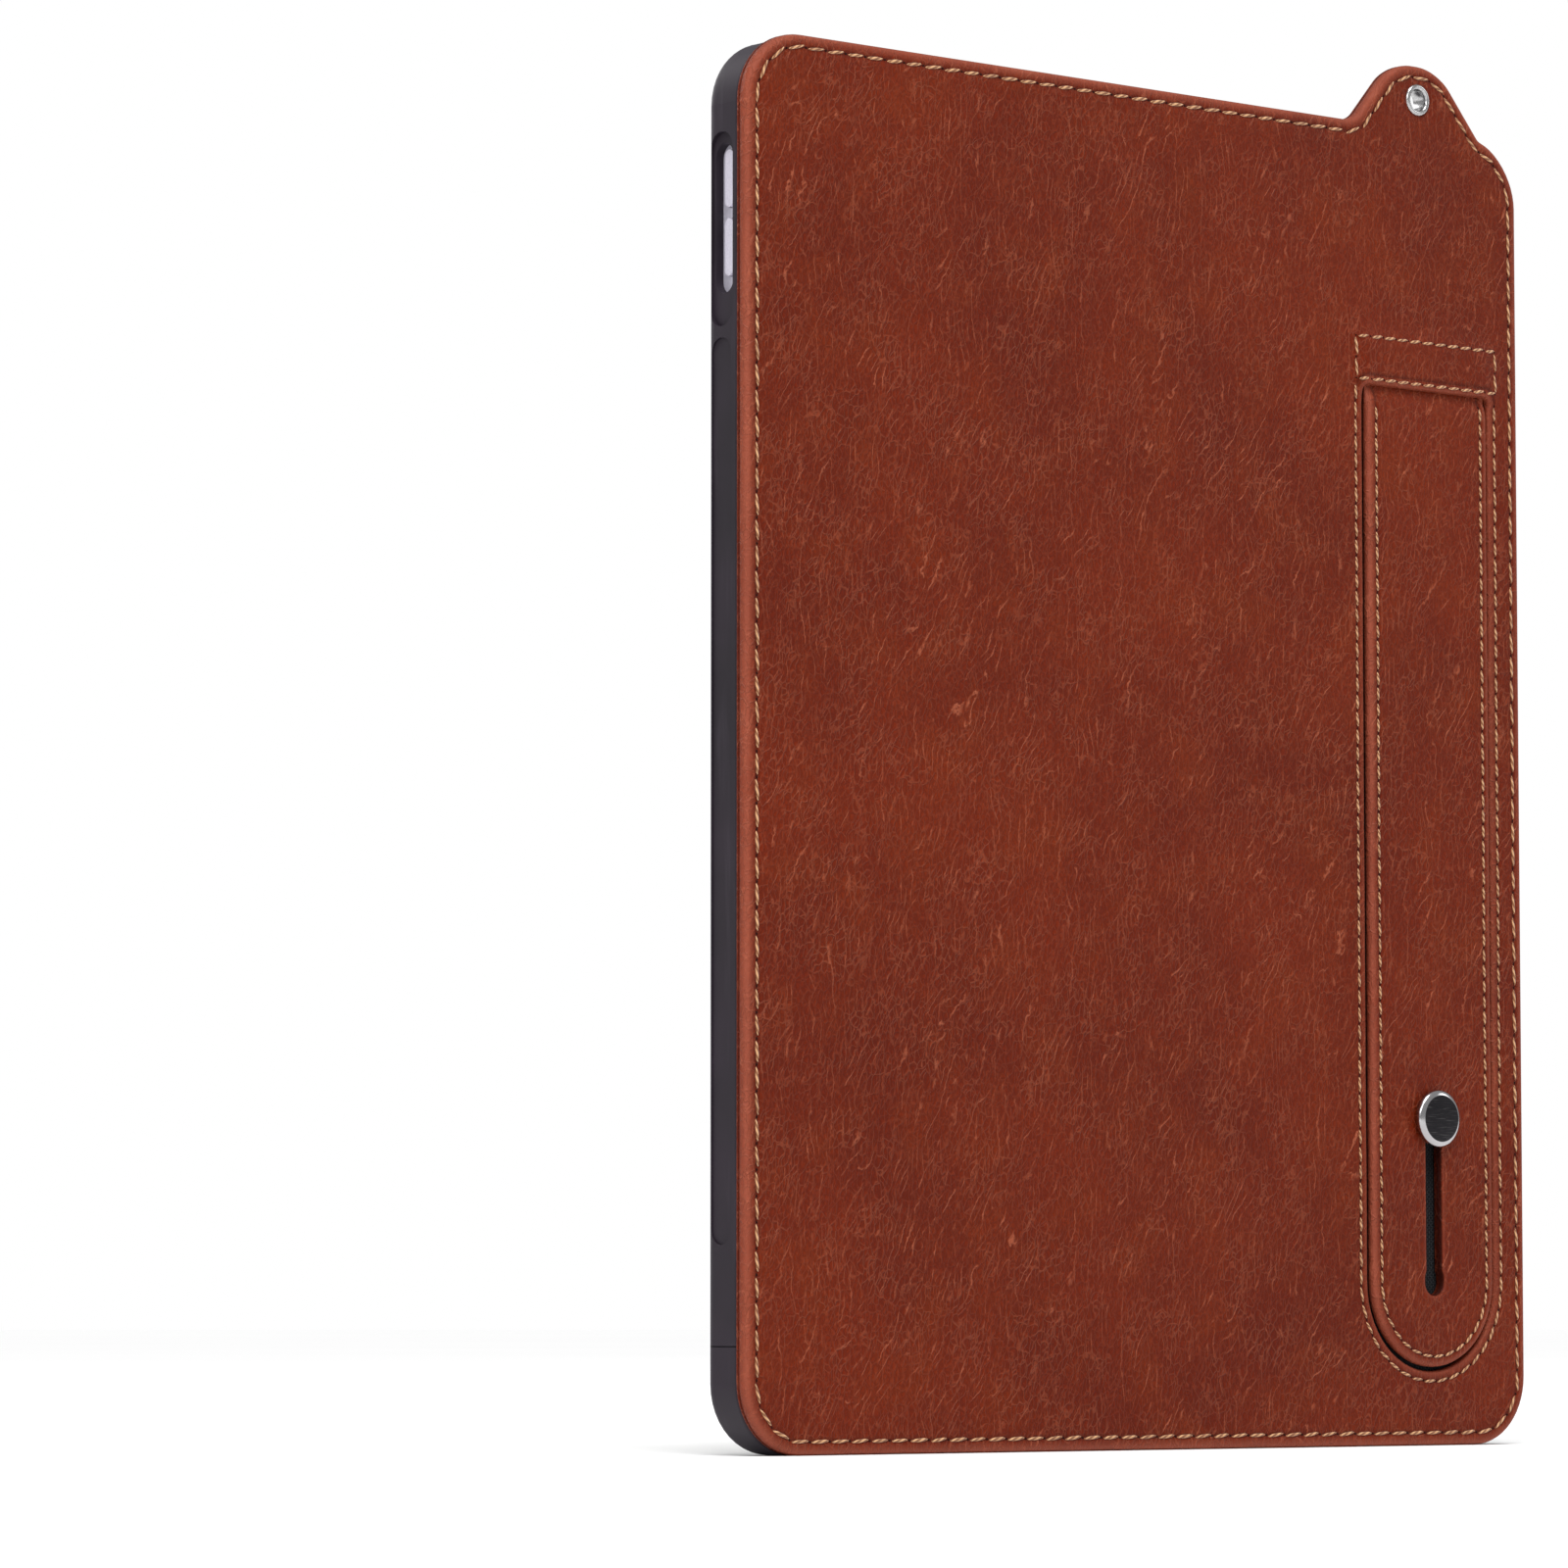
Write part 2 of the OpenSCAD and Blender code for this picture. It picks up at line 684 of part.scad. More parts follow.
module power_switch() {
    face = device_top - rim_t - flange_gap - flange_t - 0.4;
    color("#caa94a") {
        translate([power_x - 5, button_y - 1, face - 0.7]) cube([10, 2, 0.3]);
        translate([power_x, button_y, face - 0.4]) cylinder(r = 0.9, h = 0.4);
    }
}

case_shell();
stiffener_board();
recess_lining();
leather_back();
tab_lining();
eyelet_barrel();
eyelet_washer();
stud_head();
stud_post();
strap_tail();
strap_link(1);  // strap_segment_1
strap_link(2);  // strap_segment_2
strap_link(3);  // strap_segment_3
strap_link(4);  // strap_segment_4
strap_link(5);  // strap_segment_5
strap_link(6);  // strap_segment_6
strap_link(7);  // strap_segment_7
strap_link(8);  // strap_segment_8
strap_link(9);  // strap_segment_9
strap_link(10);  // strap_segment_10
strap_link(11);  // strap_segment_11
strap_link(12);  // strap_segment_12
strap_end();
rear_housing();
cover_glass();
glass_gasket();
touch_sensor();
frontlight_guide();
led_strip();
display_panel();
pen_digitizer();
mid_frame();
frame_screws();
battery();
battery_cable();
main_board();
processor();
memory_chip();
wireless_module();
shield_can();
usb_port();
display_flex();
antenna_flex();
speaker_left();
speaker_right();
microphone();
volume_up_button();
volume_down_button();
volume_switches();
power_button();
power_switch();
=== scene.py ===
import json
import math
import random

import bmesh
import bpy
from mathutils import Matrix, Vector, noise


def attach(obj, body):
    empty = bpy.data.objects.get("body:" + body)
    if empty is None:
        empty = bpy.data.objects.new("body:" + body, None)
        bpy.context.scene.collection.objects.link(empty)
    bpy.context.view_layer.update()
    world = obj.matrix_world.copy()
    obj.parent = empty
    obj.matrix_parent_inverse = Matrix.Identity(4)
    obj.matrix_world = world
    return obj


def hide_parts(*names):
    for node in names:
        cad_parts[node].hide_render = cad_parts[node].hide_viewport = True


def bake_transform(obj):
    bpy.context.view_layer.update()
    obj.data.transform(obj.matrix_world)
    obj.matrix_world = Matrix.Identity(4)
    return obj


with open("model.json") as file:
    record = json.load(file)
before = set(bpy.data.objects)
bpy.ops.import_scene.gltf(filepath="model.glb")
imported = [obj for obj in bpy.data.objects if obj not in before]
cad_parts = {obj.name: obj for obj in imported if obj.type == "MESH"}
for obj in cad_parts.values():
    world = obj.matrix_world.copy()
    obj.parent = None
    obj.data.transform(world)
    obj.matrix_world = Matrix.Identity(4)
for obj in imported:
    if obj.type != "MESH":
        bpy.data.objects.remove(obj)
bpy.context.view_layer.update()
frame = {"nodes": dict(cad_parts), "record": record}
mm = 0.001
scene = bpy.context.scene


class Wire:
    # one output of a node; arithmetic on it adds Math nodes
    def __init__(self, graph, socket):
        self.graph = graph
        self.socket = socket

    def math(self, operation, *terms):
        return self.graph.node("ShaderNodeMath", {"operation": operation}, dict(enumerate(terms)))

    def __add__(self, other):
        return self.math("ADD", self, other)

    def __radd__(self, other):
        return self.math("ADD", other, self)

    def __sub__(self, other):
        return self.math("SUBTRACT", self, other)

    def __rsub__(self, other):
        return self.math("SUBTRACT", other, self)

    def __mul__(self, other):
        return self.math("MULTIPLY", self, other)

    def __rmul__(self, other):
        return self.math("MULTIPLY", other, self)

    def __truediv__(self, other):
        return self.math("DIVIDE", self, other)

    def __abs__(self):
        return self.math("ABSOLUTE", self)

    def most(self, other):
        return self.math("MAXIMUM", self, other)

    def least(self, other):
        return self.math("MINIMUM", self, other)

    def wave(self):
        return self.math("SINE", self)

    def part(self):
        return self.math("FRACT", self)

    def floor(self):
        return self.math("FLOOR", self)

    def root(self):
        return self.math("SQRT", self)

    def raised(self, power):
        return self.math("POWER", self, power)


class Graph:
    # the nodes of a material or of the world
    def __init__(self, tree):
        self.tree = tree

    def node(self, kind, settings=None, sockets=None, out=0):
        made = self.tree.nodes.new(kind)
        for key, value in (settings or {}).items():
            setattr(made, key, value)
        for key, value in (sockets or {}).items():
            if isinstance(value, Wire):
                self.tree.links.new(value.socket, made.inputs[key])
            else:
                made.inputs[key].default_value = value
        return Wire(self, made.outputs[out])


class Finish(Graph):
    # a material with one Principled shader and short calls for its nodes
    def __init__(self, name, fixed):
        self.material = bpy.data.materials.new(name)
        self.material.use_nodes = True
        Graph.__init__(self, self.material.node_tree)
        self.shader = self.tree.nodes["Principled BSDF"]
        for socket, value in fixed.items():
            self.shader.inputs[socket].default_value = value

    def feed(self, **wires):
        for key, value in wires.items():
            socket = self.shader.inputs[key.replace("_", " ")]
            self.tree.links.new(value.socket, socket)

    def place(self, attribute=None):
        # millimetres in the object's own frame, or the rest place that a bending piece carries
        if attribute:
            where = self.node("ShaderNodeAttribute", {"attribute_name": attribute}, out="Vector")
        else:
            where = self.node("ShaderNodeTexCoord", out="Object")
        return self.stretch(where, (1 / mm, 1 / mm, 1 / mm))

    def stretch(self, where, scale, turn=(0, 0, 0)):
        return self.node("ShaderNodeMapping", None, {"Vector": where, "Scale": scale, "Rotation": turn})

    def axes(self, where):
        return [self.node("ShaderNodeSeparateXYZ", None, {0: where}, out=i) for i in range(3)]

    def cloud(self, where, scale, detail=2.0, rough=0.5, warp=0.0, out=0):
        sockets = {"Vector": where, "Scale": scale, "Detail": detail, "Roughness": rough, "Distortion": warp}
        return self.node("ShaderNodeTexNoise", None, sockets, out)

    def cells(self, where, scale, feature="DISTANCE_TO_EDGE", shuffle=1.0, out=0):
        sockets = {"Vector": where, "Scale": scale, "Randomness": shuffle}
        return self.node("ShaderNodeTexVoronoi", {"feature": feature}, sockets, out)

    def band(self, value, low, high, at=(0.0, 1.0)):
        # smooth step from at[0] below low to at[1] above high
        return self.node("ShaderNodeMapRange", {"interpolation_type": "SMOOTHSTEP"}, {
            "Value": value, "From Min": low, "From Max": high, "To Min": at[0], "To Max": at[1]})

    def mix(self, factor, first, second):
        return self.node("ShaderNodeMix", {"data_type": "RGBA"}, {0: factor, 6: first, 7: second}, out=2)

    def drift(self, where, scale, amount):
        # pushes a place about by a soft cloud, so that a pattern doesn't run straight
        push = self.cloud(where, scale, 1.0, out=1)
        return self.node("ShaderNodeVectorMath", {"operation": "MULTIPLY_ADD"},
                         {0: push, 1: (amount, amount, amount), 2: where})

    def bump(self, height, strength, distance):
        sockets = {"Height": height, "Strength": strength, "Distance": distance}
        self.feed(Normal=self.node("ShaderNodeBump", None, sockets))


def tone(red, green, blue, alpha=1.0):
    # a screen colour from 0 to 255 as the linear colour that a shader takes
    def straight(value):
        part = value / 255
        return part / 12.92 if part <= 0.04045 else ((part + 0.055) / 1.055) ** 2.4
    return (straight(red), straight(green), straight(blue), alpha)


leatherLook = {
    "deep": tone(96, 26, 5),
    "mid": tone(108, 32, 6),
    "warm": tone(116, 41, 8),
    # the crease colour is a painted highlight on the creases and the crackle
    "creaseWithHighlight": tone(186, 104, 74),
    # the worn edge colour is partly wear and partly a painted highlight; the groove colour darkens grain
    # pits and is painted shade in grooves and gaps
    "wornEdgeHighlight": tone(158, 84, 64),
    "grainPitsAndShade": tone(48, 13, 7),
    "lie": 0.5,             # the creases' lean from upright, in radians
    "creaseGap": 1.75,
    "creaseThin": 0.13,
    "crackleHighlightShare": 0.19,
    "pebbleShare": 0.26,
    "poreShare": 0.1,
    "lift": (0.7, 0.0002),  # the bump's strength and height
}


def leatherFinish(name, look):
    f = Finish(name, {"IOR": 1.45, "Specular IOR Level": 0.12})
    spot = f.place("restPlace")
    loose = f.drift(spot, 0.055, 16.0)
    patches = f.cloud(spot, 0.022, 3.0, 0.55)
    mottle = f.cloud(loose, 0.07, 3.0, 0.6)

    def creases(turn, gap, wander):
        # long folds side by side: they lean by turn, run together and apart, and fade out
        leaning = f.stretch(spot, (1, 1, 1), (0, turn, 0))
        x, _, _ = f.axes(leaning)
        slow = f.cloud(f.stretch(leaning, (1, 1, 0.5)), 0.11, 2.0)
        quick = f.cloud(f.stretch(leaning, (1, 1, 0.55)), 0.75, 3.0, 0.62)
        apart = abs((x / gap + slow * wander + quick).part() - 0.5)
        line = f.band(apart, 0.0, look["creaseThin"], (1.0, 0.0))
        return line * f.band(f.cloud(f.stretch(leaning, (1, 1, 0.3)), 0.42, 3.0, 0.6, 0.4), 0.45, 0.62)

    patchy = f.band(f.cloud(loose, 0.06, 2.0), 0.4, 0.62)
    long = creases(look["lie"], look["creaseGap"], 7.5) * (0.3 + patchy * 0.7)
    upright = creases(look["lie"] - 0.5, look["creaseGap"] * 0.85, 6.0) * (1 - patchy * 0.6) * 0.75
    creaseWithHighlight = long.most(upright)
    pebble = f.band(f.cells(f.drift(f.stretch(spot, (1, 1, 0.7)), 0.8, 1.0), 1.15), 0.0, 0.3)
    pores = f.cloud(spot, 3.2, 2.0, 0.65)
    wearHighlightShade = f.node("ShaderNodeAttribute", {"attribute_name": "wearHighlightShade"}, out="Fac")
    colour = f.mix(f.band(patches, 0.32, 0.68), look["deep"], look["mid"])
    colour = f.mix(f.band(mottle, 0.42, 0.75) * 0.5, colour, look["warm"])
    pits = (1 - pebble) * look["pebbleShare"] + f.band(pores, 0.5, 0.7) * look["poreShare"]
    colour = f.mix(pits, colour, look["grainPitsAndShade"])
    knots = f.stretch(f.drift(spot, 0.35, 2.4), (1, 1, 1), (0, look["lie"] - 0.3, 0))
    crackle = f.band(f.cells(f.stretch(knots, (0.85, 0.85, 0.4)), 1.0), 0.0, 0.11, (1.0, 0.0))
    crackle = crackle * (0.3 + f.band(f.cloud(spot, 0.14, 3.0), 0.4, 0.65) * 0.7)
    # the creases and crackle are painted lighter: a painted highlight, as if their ridges caught the light;
    # their bump is real
    creaseHighlights = (creaseWithHighlight * (0.4 + f.band(mottle, 0.3, 0.7) * 0.2)).most(crackle * look["crackleHighlightShare"])
    colour = f.mix(creaseHighlights, colour, look["creaseWithHighlight"])
    # above 0 the wear attribute lightens rounded edges, partly wear and partly a painted highlight; below 0
    # it darkens grooves, gaps and slot walls as painted shade
    colour = f.mix(wearHighlightShade.least(1.0).most(0.0) * (0.35 + mottle * 0.5), colour, look["wornEdgeHighlight"])
    colour = f.mix((0 - wearHighlightShade).least(1.0).most(0.0), colour, look["grainPitsAndShade"])
    f.feed(Base_Color=colour, Roughness=0.36 + pores * 0.14 + mottle * 0.12 - creaseWithHighlight * 0.05)
    f.bump(pebble * 0.35 + pores * 0.3 + creaseWithHighlight * 0.8 + crackle * 1.1 + mottle * 0.6, *look["lift"])
    return f.material


def threadFinish(name):
    f = Finish(name, {"Sheen Weight": 0.3, "Sheen Roughness": 0.5, "Specular IOR Level": 0.3})
    uv = f.node("ShaderNodeUVMap", {"uv_map": "UVMap"})
    u, v, _ = f.axes(uv)
    twist = ((v * 3.0 + u * 2.0) * 6.2832).wave()
    spot = f.place()
    dirt = f.cloud(spot, 0.35, 2.0)
    colour = f.mix(f.band(twist, -0.6, 0.7), tone(128, 80, 48), tone(206, 158, 112))
    colour = f.mix(f.band(dirt, 0.45, 0.75) * 0.45, colour, tone(112, 64, 38))
    f.feed(Base_Color=colour, Roughness=0.62 + dirt * 0.2)
    f.bump(twist * 0.5 + 0.5, 0.5, 0.00012)
    return f.material


# dark discs of painted shade that stand for the needle holes between stitches
def needleHoleShadeFinish(name):
    f = Finish(name, {"Specular IOR Level": 0.1})
    grain = f.cloud(f.place(), 3.0)
    f.feed(Base_Color=f.mix(grain, tone(22, 9, 7), tone(44, 18, 12)), Roughness=0.8 + grain * 0.1)
    return f.material


def shellFinish(name):
    # soft-touch rubber: satin, with a dusty sheen and a very fine moulded texture
    f = Finish(name, {"Specular IOR Level": 0.26, "Sheen Weight": 0.06, "Sheen Roughness": 0.4,
                      "Sheen Tint": tone(190, 170, 205)})
    spot = f.place()
    speck = f.cloud(spot, 5.5, 2.0, 0.6)
    haze = f.cloud(spot, 0.035, 3.0, 0.6)
    rub = f.band(f.cloud(f.stretch(spot, (0.3, 0.3, 0.03)), 0.9, 3.0, 0.6), 0.52, 0.75)
    colour = f.mix(f.band(haze, 0.3, 0.7), tone(25, 19, 26), tone(36, 28, 37))
    colour = f.mix(rub * 0.25, colour, tone(66, 58, 68))
    f.feed(Base_Color=colour, Roughness=0.44 + haze * 0.16 + speck * 0.06 - rub * 0.08)
    f.bump(speck, 0.22, 0.00006)
    return f.material


def metalFinish(name, dark, light, rough, grainScale=(3, 3, 3), grainRough=0.1, grainBump=0.12,
                metallic=1.0):
    f = Finish(name, {"Metallic": metallic})
    spot = f.place()
    grain = f.cloud(f.stretch(spot, grainScale), 1.0, 3.0, 0.7)
    soil = f.cloud(spot, 0.25, 2.0)
    colour = f.mix(f.band(grain, 0.25, 0.75), dark, light)
    f.feed(Base_Color=colour, Roughness=rough + grain * grainRough + soil * 0.06)
    f.bump(grain, grainBump, 0.00003)
    return f.material


def studFinish(name, middle, flatRadius):
    # a dark brushed flat inside a bright turned bevel
    f = Finish(name, {"Metallic": 1.0})
    spot = f.place()
    x, _, z = f.axes(spot)
    dx, dz = x - middle[0], z - middle[1]
    radius = (dx * dx + dz * dz).root()
    brush = f.cloud(f.stretch(spot, (0.5, 1, 9), (0, 0.9, 0)), 1.0, 4.0, 0.75)
    scratch = f.band(f.cloud(f.stretch(spot, (0.25, 1, 14), (0, 1.1, 0)), 1.0, 2.0, 0.6), 0.62, 0.7)
    rim = f.band(radius, flatRadius - 0.08, flatRadius + 0.08)
    flat = f.mix(brush, tone(18, 17, 20), tone(62, 60, 63))
    flat = f.mix(scratch * 0.35, flat, tone(150, 146, 146))
    f.feed(Base_Color=f.mix(rim, flat, tone(182, 180, 182)), Roughness=0.3 + brush * 0.14 - rim * 0.2)
    f.bump(brush * (1 - rim), 0.25, 0.00003)
    return f.material


def liningFinish(name):
    # black cloth: warp and weft threads about 0.45 mm apart
    f = Finish(name, {"Sheen Weight": 0.12, "Sheen Roughness": 0.35, "Specular IOR Level": 0.2})
    spot = f.drift(f.place(), 0.3, 0.25)
    x, _, z = f.axes(spot)
    warp = (x * 13.9).wave()
    weft = (z * 13.9).wave()
    warpOver = f.band((x * 6.95).wave() * (z * 6.95).wave(), -0.15, 0.15)
    weave = warpOver * (warp * 0.5 + 0.5) + (1 - warpOver) * (weft * 0.5 + 0.5)
    lint = f.band(f.cloud(f.place(), 1.4, 3.0, 0.7), 0.6, 0.8)
    colour = f.mix(weave, tone(6, 6, 7), tone(30, 31, 35))
    f.feed(Base_Color=f.mix(lint * 0.2, colour, tone(70, 70, 74)), Roughness=0.78 + weave * 0.1)
    f.bump(weave, 0.7, 0.00016)
    return f.material


def plasticFinish(name, first, second, rough=0.45, scale=0.3, bumpy=0.15):
    f = Finish(name, {"Specular IOR Level": 0.4})
    spot = f.place()
    cloudy = f.cloud(spot, scale, 3.0, 0.6)
    speck = f.cloud(spot, 6.0, 1.0)
    colour = f.mix(f.band(cloudy, 0.3, 0.7), first, second)
    f.feed(Base_Color=colour, Roughness=rough + cloudy * 0.12 + speck * 0.05)
    f.bump(speck, bumpy, 0.00004)
    return f.material


def boardFinish(name):
    # solder mask with copper tracks and pads under it
    f = Finish(name, {"Specular IOR Level": 0.5})
    spot = f.place()
    x, _, z = f.axes(spot)
    track = f.band(((x + f.cloud(spot, 0.08) * 8) * 3.1).wave(), 0.72, 0.86)
    track = track * f.band(f.cells(spot, 0.11, "F1", out=1), 0.4, 0.55)     # each cell has tracks or none
    pads = f.band(f.cells(spot, 0.5, "F1", 0.2), 0.22, 0.26, (1.0, 0.0))
    pads = pads * f.band(f.cloud(spot, 0.09), 0.5, 0.56)
    colour = f.mix(track * 0.6, tone(16, 74, 46), tone(44, 122, 74))
    f.feed(Base_Color=f.mix(pads, colour, tone(206, 178, 104)), Roughness=0.34 + track * 0.12)
    f.bump(track.most(pads), 0.4, 0.00004)
    return f.material


print("shader tools ready")

roundSteps = 56         # segments in a full turn of an outline's corner
smallestStep = 0.001    # the inset operator needs a little width in every row
stitchLot = 20          # stitches are made in short lots, because an operator slows in a big mesh


def outlineFace(bm, corners, y, side=1):
    # one flat face whose corners (x, z, radius) are rounded; it looks along +Y for side 1, -Y for side -1
    verts = [bm.verts.new((x * mm, y * mm, z * mm)) for x, z, _ in corners]
    face = bm.faces.new(verts[::-1] if side > 0 else verts)
    for vert, (_, _, radius) in zip(verts, corners):
        if radius == 0:
            continue
        one, two = [e.other_vert(vert).co - vert.co for e in vert.link_edges]
        turn = math.pi - one.angle(two)
        reach = radius * mm * math.tan(turn / 2)
        segments = max(2, round(roundSteps * turn / (2 * math.pi)))
        made = bmesh.ops.bevel(bm, geom=[vert], affect="VERTICES", offset=reach, offset_type="OFFSET",
                               segments=segments, profile=0.5, material=-1, clamp_overlap=False)
        face = made["verts"][0].link_faces[0]
    # round ends meet in the middle, where two corners leave a pair of doubles
    doubles = bmesh.ops.find_doubles(bm, verts=face.verts[:], dist=0.05 * mm)["targetmap"]
    kept = [v for v in face.verts if v not in doubles]
    bmesh.ops.weld_verts(bm, targetmap=doubles)
    return kept[0].link_faces[0]


def stepInwards(bm, face, rows, start, side=1):
    # each row is (inset, y, and a value that lightens the leather above 0 for wear and a painted highlight,
    # and paints shade below 0); it is one more ring, and a negative inset steps outwards
    wearHighlightShade = bm.verts.layers.float.get("wearHighlightShade") or bm.verts.layers.float.new("wearHighlightShade")
    lastInset, lastY, startWearHighlightShade = start
    for v in face.verts:
        v[wearHighlightShade] = startWearHighlightShade
    for inset, y, rowWearHighlightShade in rows:
        thickness = inset - lastInset
        if abs(thickness) < smallestStep:
            thickness = smallestStep if thickness >= 0 else -smallestStep
        bmesh.ops.inset_region(bm, faces=[face], use_boundary=True, use_even_offset=True,
                               thickness=thickness * mm, depth=(y - lastY) * mm * side)
        for v in face.verts:
            v[wearHighlightShade] = rowWearHighlightShade
        lastInset, lastY = inset, y


def ringFrom(bm, corners, start, rows, side=1):
    # a rounded outline stepped through its rows; returns its last loop of edges, with the face taken out
    face = outlineFace(bm, corners, start[1], side)
    stepInwards(bm, face, rows, start, side)
    edges = face.edges[:]
    bmesh.ops.delete(bm, geom=[face], context="FACES_ONLY")
    return edges


def fillFlat(bm, loops, side=1):
    edges = [edge for loop in loops for edge in loop]
    bmesh.ops.triangle_fill(bm, edges=edges, use_beauty=True, normal=(0, side, 0))


def tracedPath(corners, inset):
    # the places (x, z), in order, along an outline moved in by inset
    bm = bmesh.new()
    face = outlineFace(bm, corners, 0)
    if inset:
        stepInwards(bm, face, [(inset, 0, 0)], (0, 0, 0))
    path = [Vector((v.co.x, v.co.z)) / mm for v in face.verts]
    bm.free()
    return path


def cutAcross(bm, axis, places, near=None):
    # adds edges across the mesh, or across its faces near a place, and removes nothing
    normal = Vector([1.0 if i == axis else 0.0 for i in range(3)])
    for place in places:
        faces = [face for face in bm.faces if near is None or near(face.calc_center_median() / mm)]
        geometry = faces + list({edge for face in faces for edge in face.edges})
        bmesh.ops.bisect_plane(bm, geom=geometry, dist=1e-7, plane_co=normal * place * mm, plane_no=normal)


def evenly(first, last, step):
    count = round(abs(last - first) / step)
    return [first + (last - first) * k / count for k in range(count + 1)]


def smoothStep(value, low, high):
    t = min(1.0, max(0.0, (value - low) / (high - low)))
    return t * t * (3 - 2 * t)


def makePiece(bm, name, materials, smooth=True, restPlace=False, merge=2e-6):
    # restPlace keeps each point's place, so that the leather's pattern stays on a piece that bends
    bmesh.ops.remove_doubles(bm, verts=bm.verts, dist=merge)
    bmesh.ops.recalc_face_normals(bm, faces=bm.faces)
    for face in bm.faces:
        face.smooth = smooth
    mesh = bpy.data.meshes.new(name)
    bm.to_mesh(mesh)
    bm.free()
    if restPlace:
        rest = mesh.attributes.new("restPlace", "FLOAT_VECTOR", "POINT")
        rest.data.foreach_set("vector", [value for v in mesh.vertices for value in v.co])
    for material in materials:
        mesh.materials.append(material)
    piece = bpy.data.objects.new(name, mesh)
    scene.collection.objects.link(piece)
    return piece


def lathe(bm, profile, centre, steps):
    # profile rows are (radius, y); centre is (x, z)
    x, z = centre
    verts = [bm.verts.new(((x + radius) * mm, y * mm, z * mm)) for radius, y in profile]
    edges = [bm.edges.new(pair) for pair in zip(verts, verts[1:])]
    bmesh.ops.spin(bm, geom=verts + edges, cent=(x * mm, 0, z * mm), axis=(0, 1, 0),
                   angle=2 * math.pi, steps=steps, use_merge=True)


def punchedRim(bm, centre, radius, y):
    # the round edge of a hole through flat leather at height y
    x, z = centre
    place = Matrix.Translation((x * mm, y * mm, z * mm)) @ Matrix.Rotation(math.pi / 2, 4, "X")
    made = bmesh.ops.create_circle(bm, segments=32, radius=radius * mm, matrix=place)
    return list({edge for vert in made["verts"] for edge in vert.link_edges})


def walk(path, pitch, closed=True):
    # evenly spaced (middle, direction, step) along a path
    path = path + [path[0]] if closed else path
    lengths = [(b - a).length for a, b in zip(path, path[1:])]
    count = max(1, round(sum(lengths) / pitch))
    step = sum(lengths) / count
    made, index, gone = [], 0, 0.0
    for k in range(count):
        target = (k + 0.5) * step
        while gone + lengths[index] < target and index < len(lengths) - 1:
            gone += lengths[index]
            index += 1
        direction = (path[index + 1] - path[index]).normalized()
        made.append((path[index] + direction * (target - gone), direction, step))
    return made


def sewStitch(bm, middle, direction, y, length, radius, side, lean):
    # one stitch: fat in the middle, with ends that dive into the leather
    up = Vector((0, side, 0))
    ahead = Vector((direction.x, 0, direction.y))
    along = (ahead + up.cross(ahead) * lean).normalized()
    turn = Matrix((up.cross(along), up, along)).transposed().to_4x4()
    size = Matrix.Diagonal((radius, radius * 0.85, length / 2, 1))
    move = Matrix.Translation((middle.x * mm, y * mm, middle.y * mm))
    bmesh.ops.create_uvsphere(bm, u_segments=8, v_segments=8, radius=mm, matrix=move @ turn @ size,
                              calc_uvs=True)


def addHoleShade(bm, place, y, radius, side):
    # a small dark cone on slot 1: painted shade standing in for a needle hole
    turn = Matrix.Rotation(-math.pi / 2 * side, 4, "X")
    move = Matrix.Translation((place.x * mm, y * mm, place.y * mm))
    made = bmesh.ops.create_cone(bm, cap_ends=True, segments=8, radius1=radius * mm,
                                 radius2=radius * mm * 0.6, depth=0.12 * mm, matrix=move @ turn)
    for vert in made["verts"]:
        for face in vert.link_faces:
            face.material_index = 1


def newThread():
    bm = bmesh.new()
    bm.loops.layers.uv.new("UVMap")
    return bm


def gather(bm, part):
    # moves one bmesh into another
    mesh = bpy.data.meshes.new("part")
    part.to_mesh(mesh)
    part.free()
    bm.from_mesh(mesh)
    bpy.data.meshes.remove(mesh)


def sew(bm, path, height, pitch, radius, closed=True, side=1, keep=None):
    # a line of stitches with a dark cone between each pair, painted shade for a needle hole; height gives
    # the leather's y at a place
    dice = random.Random(len(path) * 1000 + round(pitch * 100))
    places = walk(path, pitch, closed)
    for first in range(0, len(places), stitchLot):
        lot = newThread()
        for middle, direction, step in places[first:first + stitchLot]:
            length = step * dice.uniform(0.78, 0.88)
            thick = radius * dice.uniform(0.9, 1.08)
            lean = dice.uniform(0.06, 0.16)
            if keep and not keep(middle):
                continue
            sewStitch(lot, middle, direction, height(middle) + 0.04 * side, length, thick, side, lean)
            hole = middle + direction * step / 2
            addHoleShade(lot, hole, height(hole) - 0.02 * side, radius * 0.95, side)
        gather(bm, lot)


leatherMaterial = leatherFinish("leather", leatherLook)
threadMaterial = threadFinish("thread")
holeShadeMaterial = needleHoleShadeFinish("needleHoleShade")

caseHalf = 97.0
caseTop = 253.0
tabTop = 265.4
strapX = -71.6
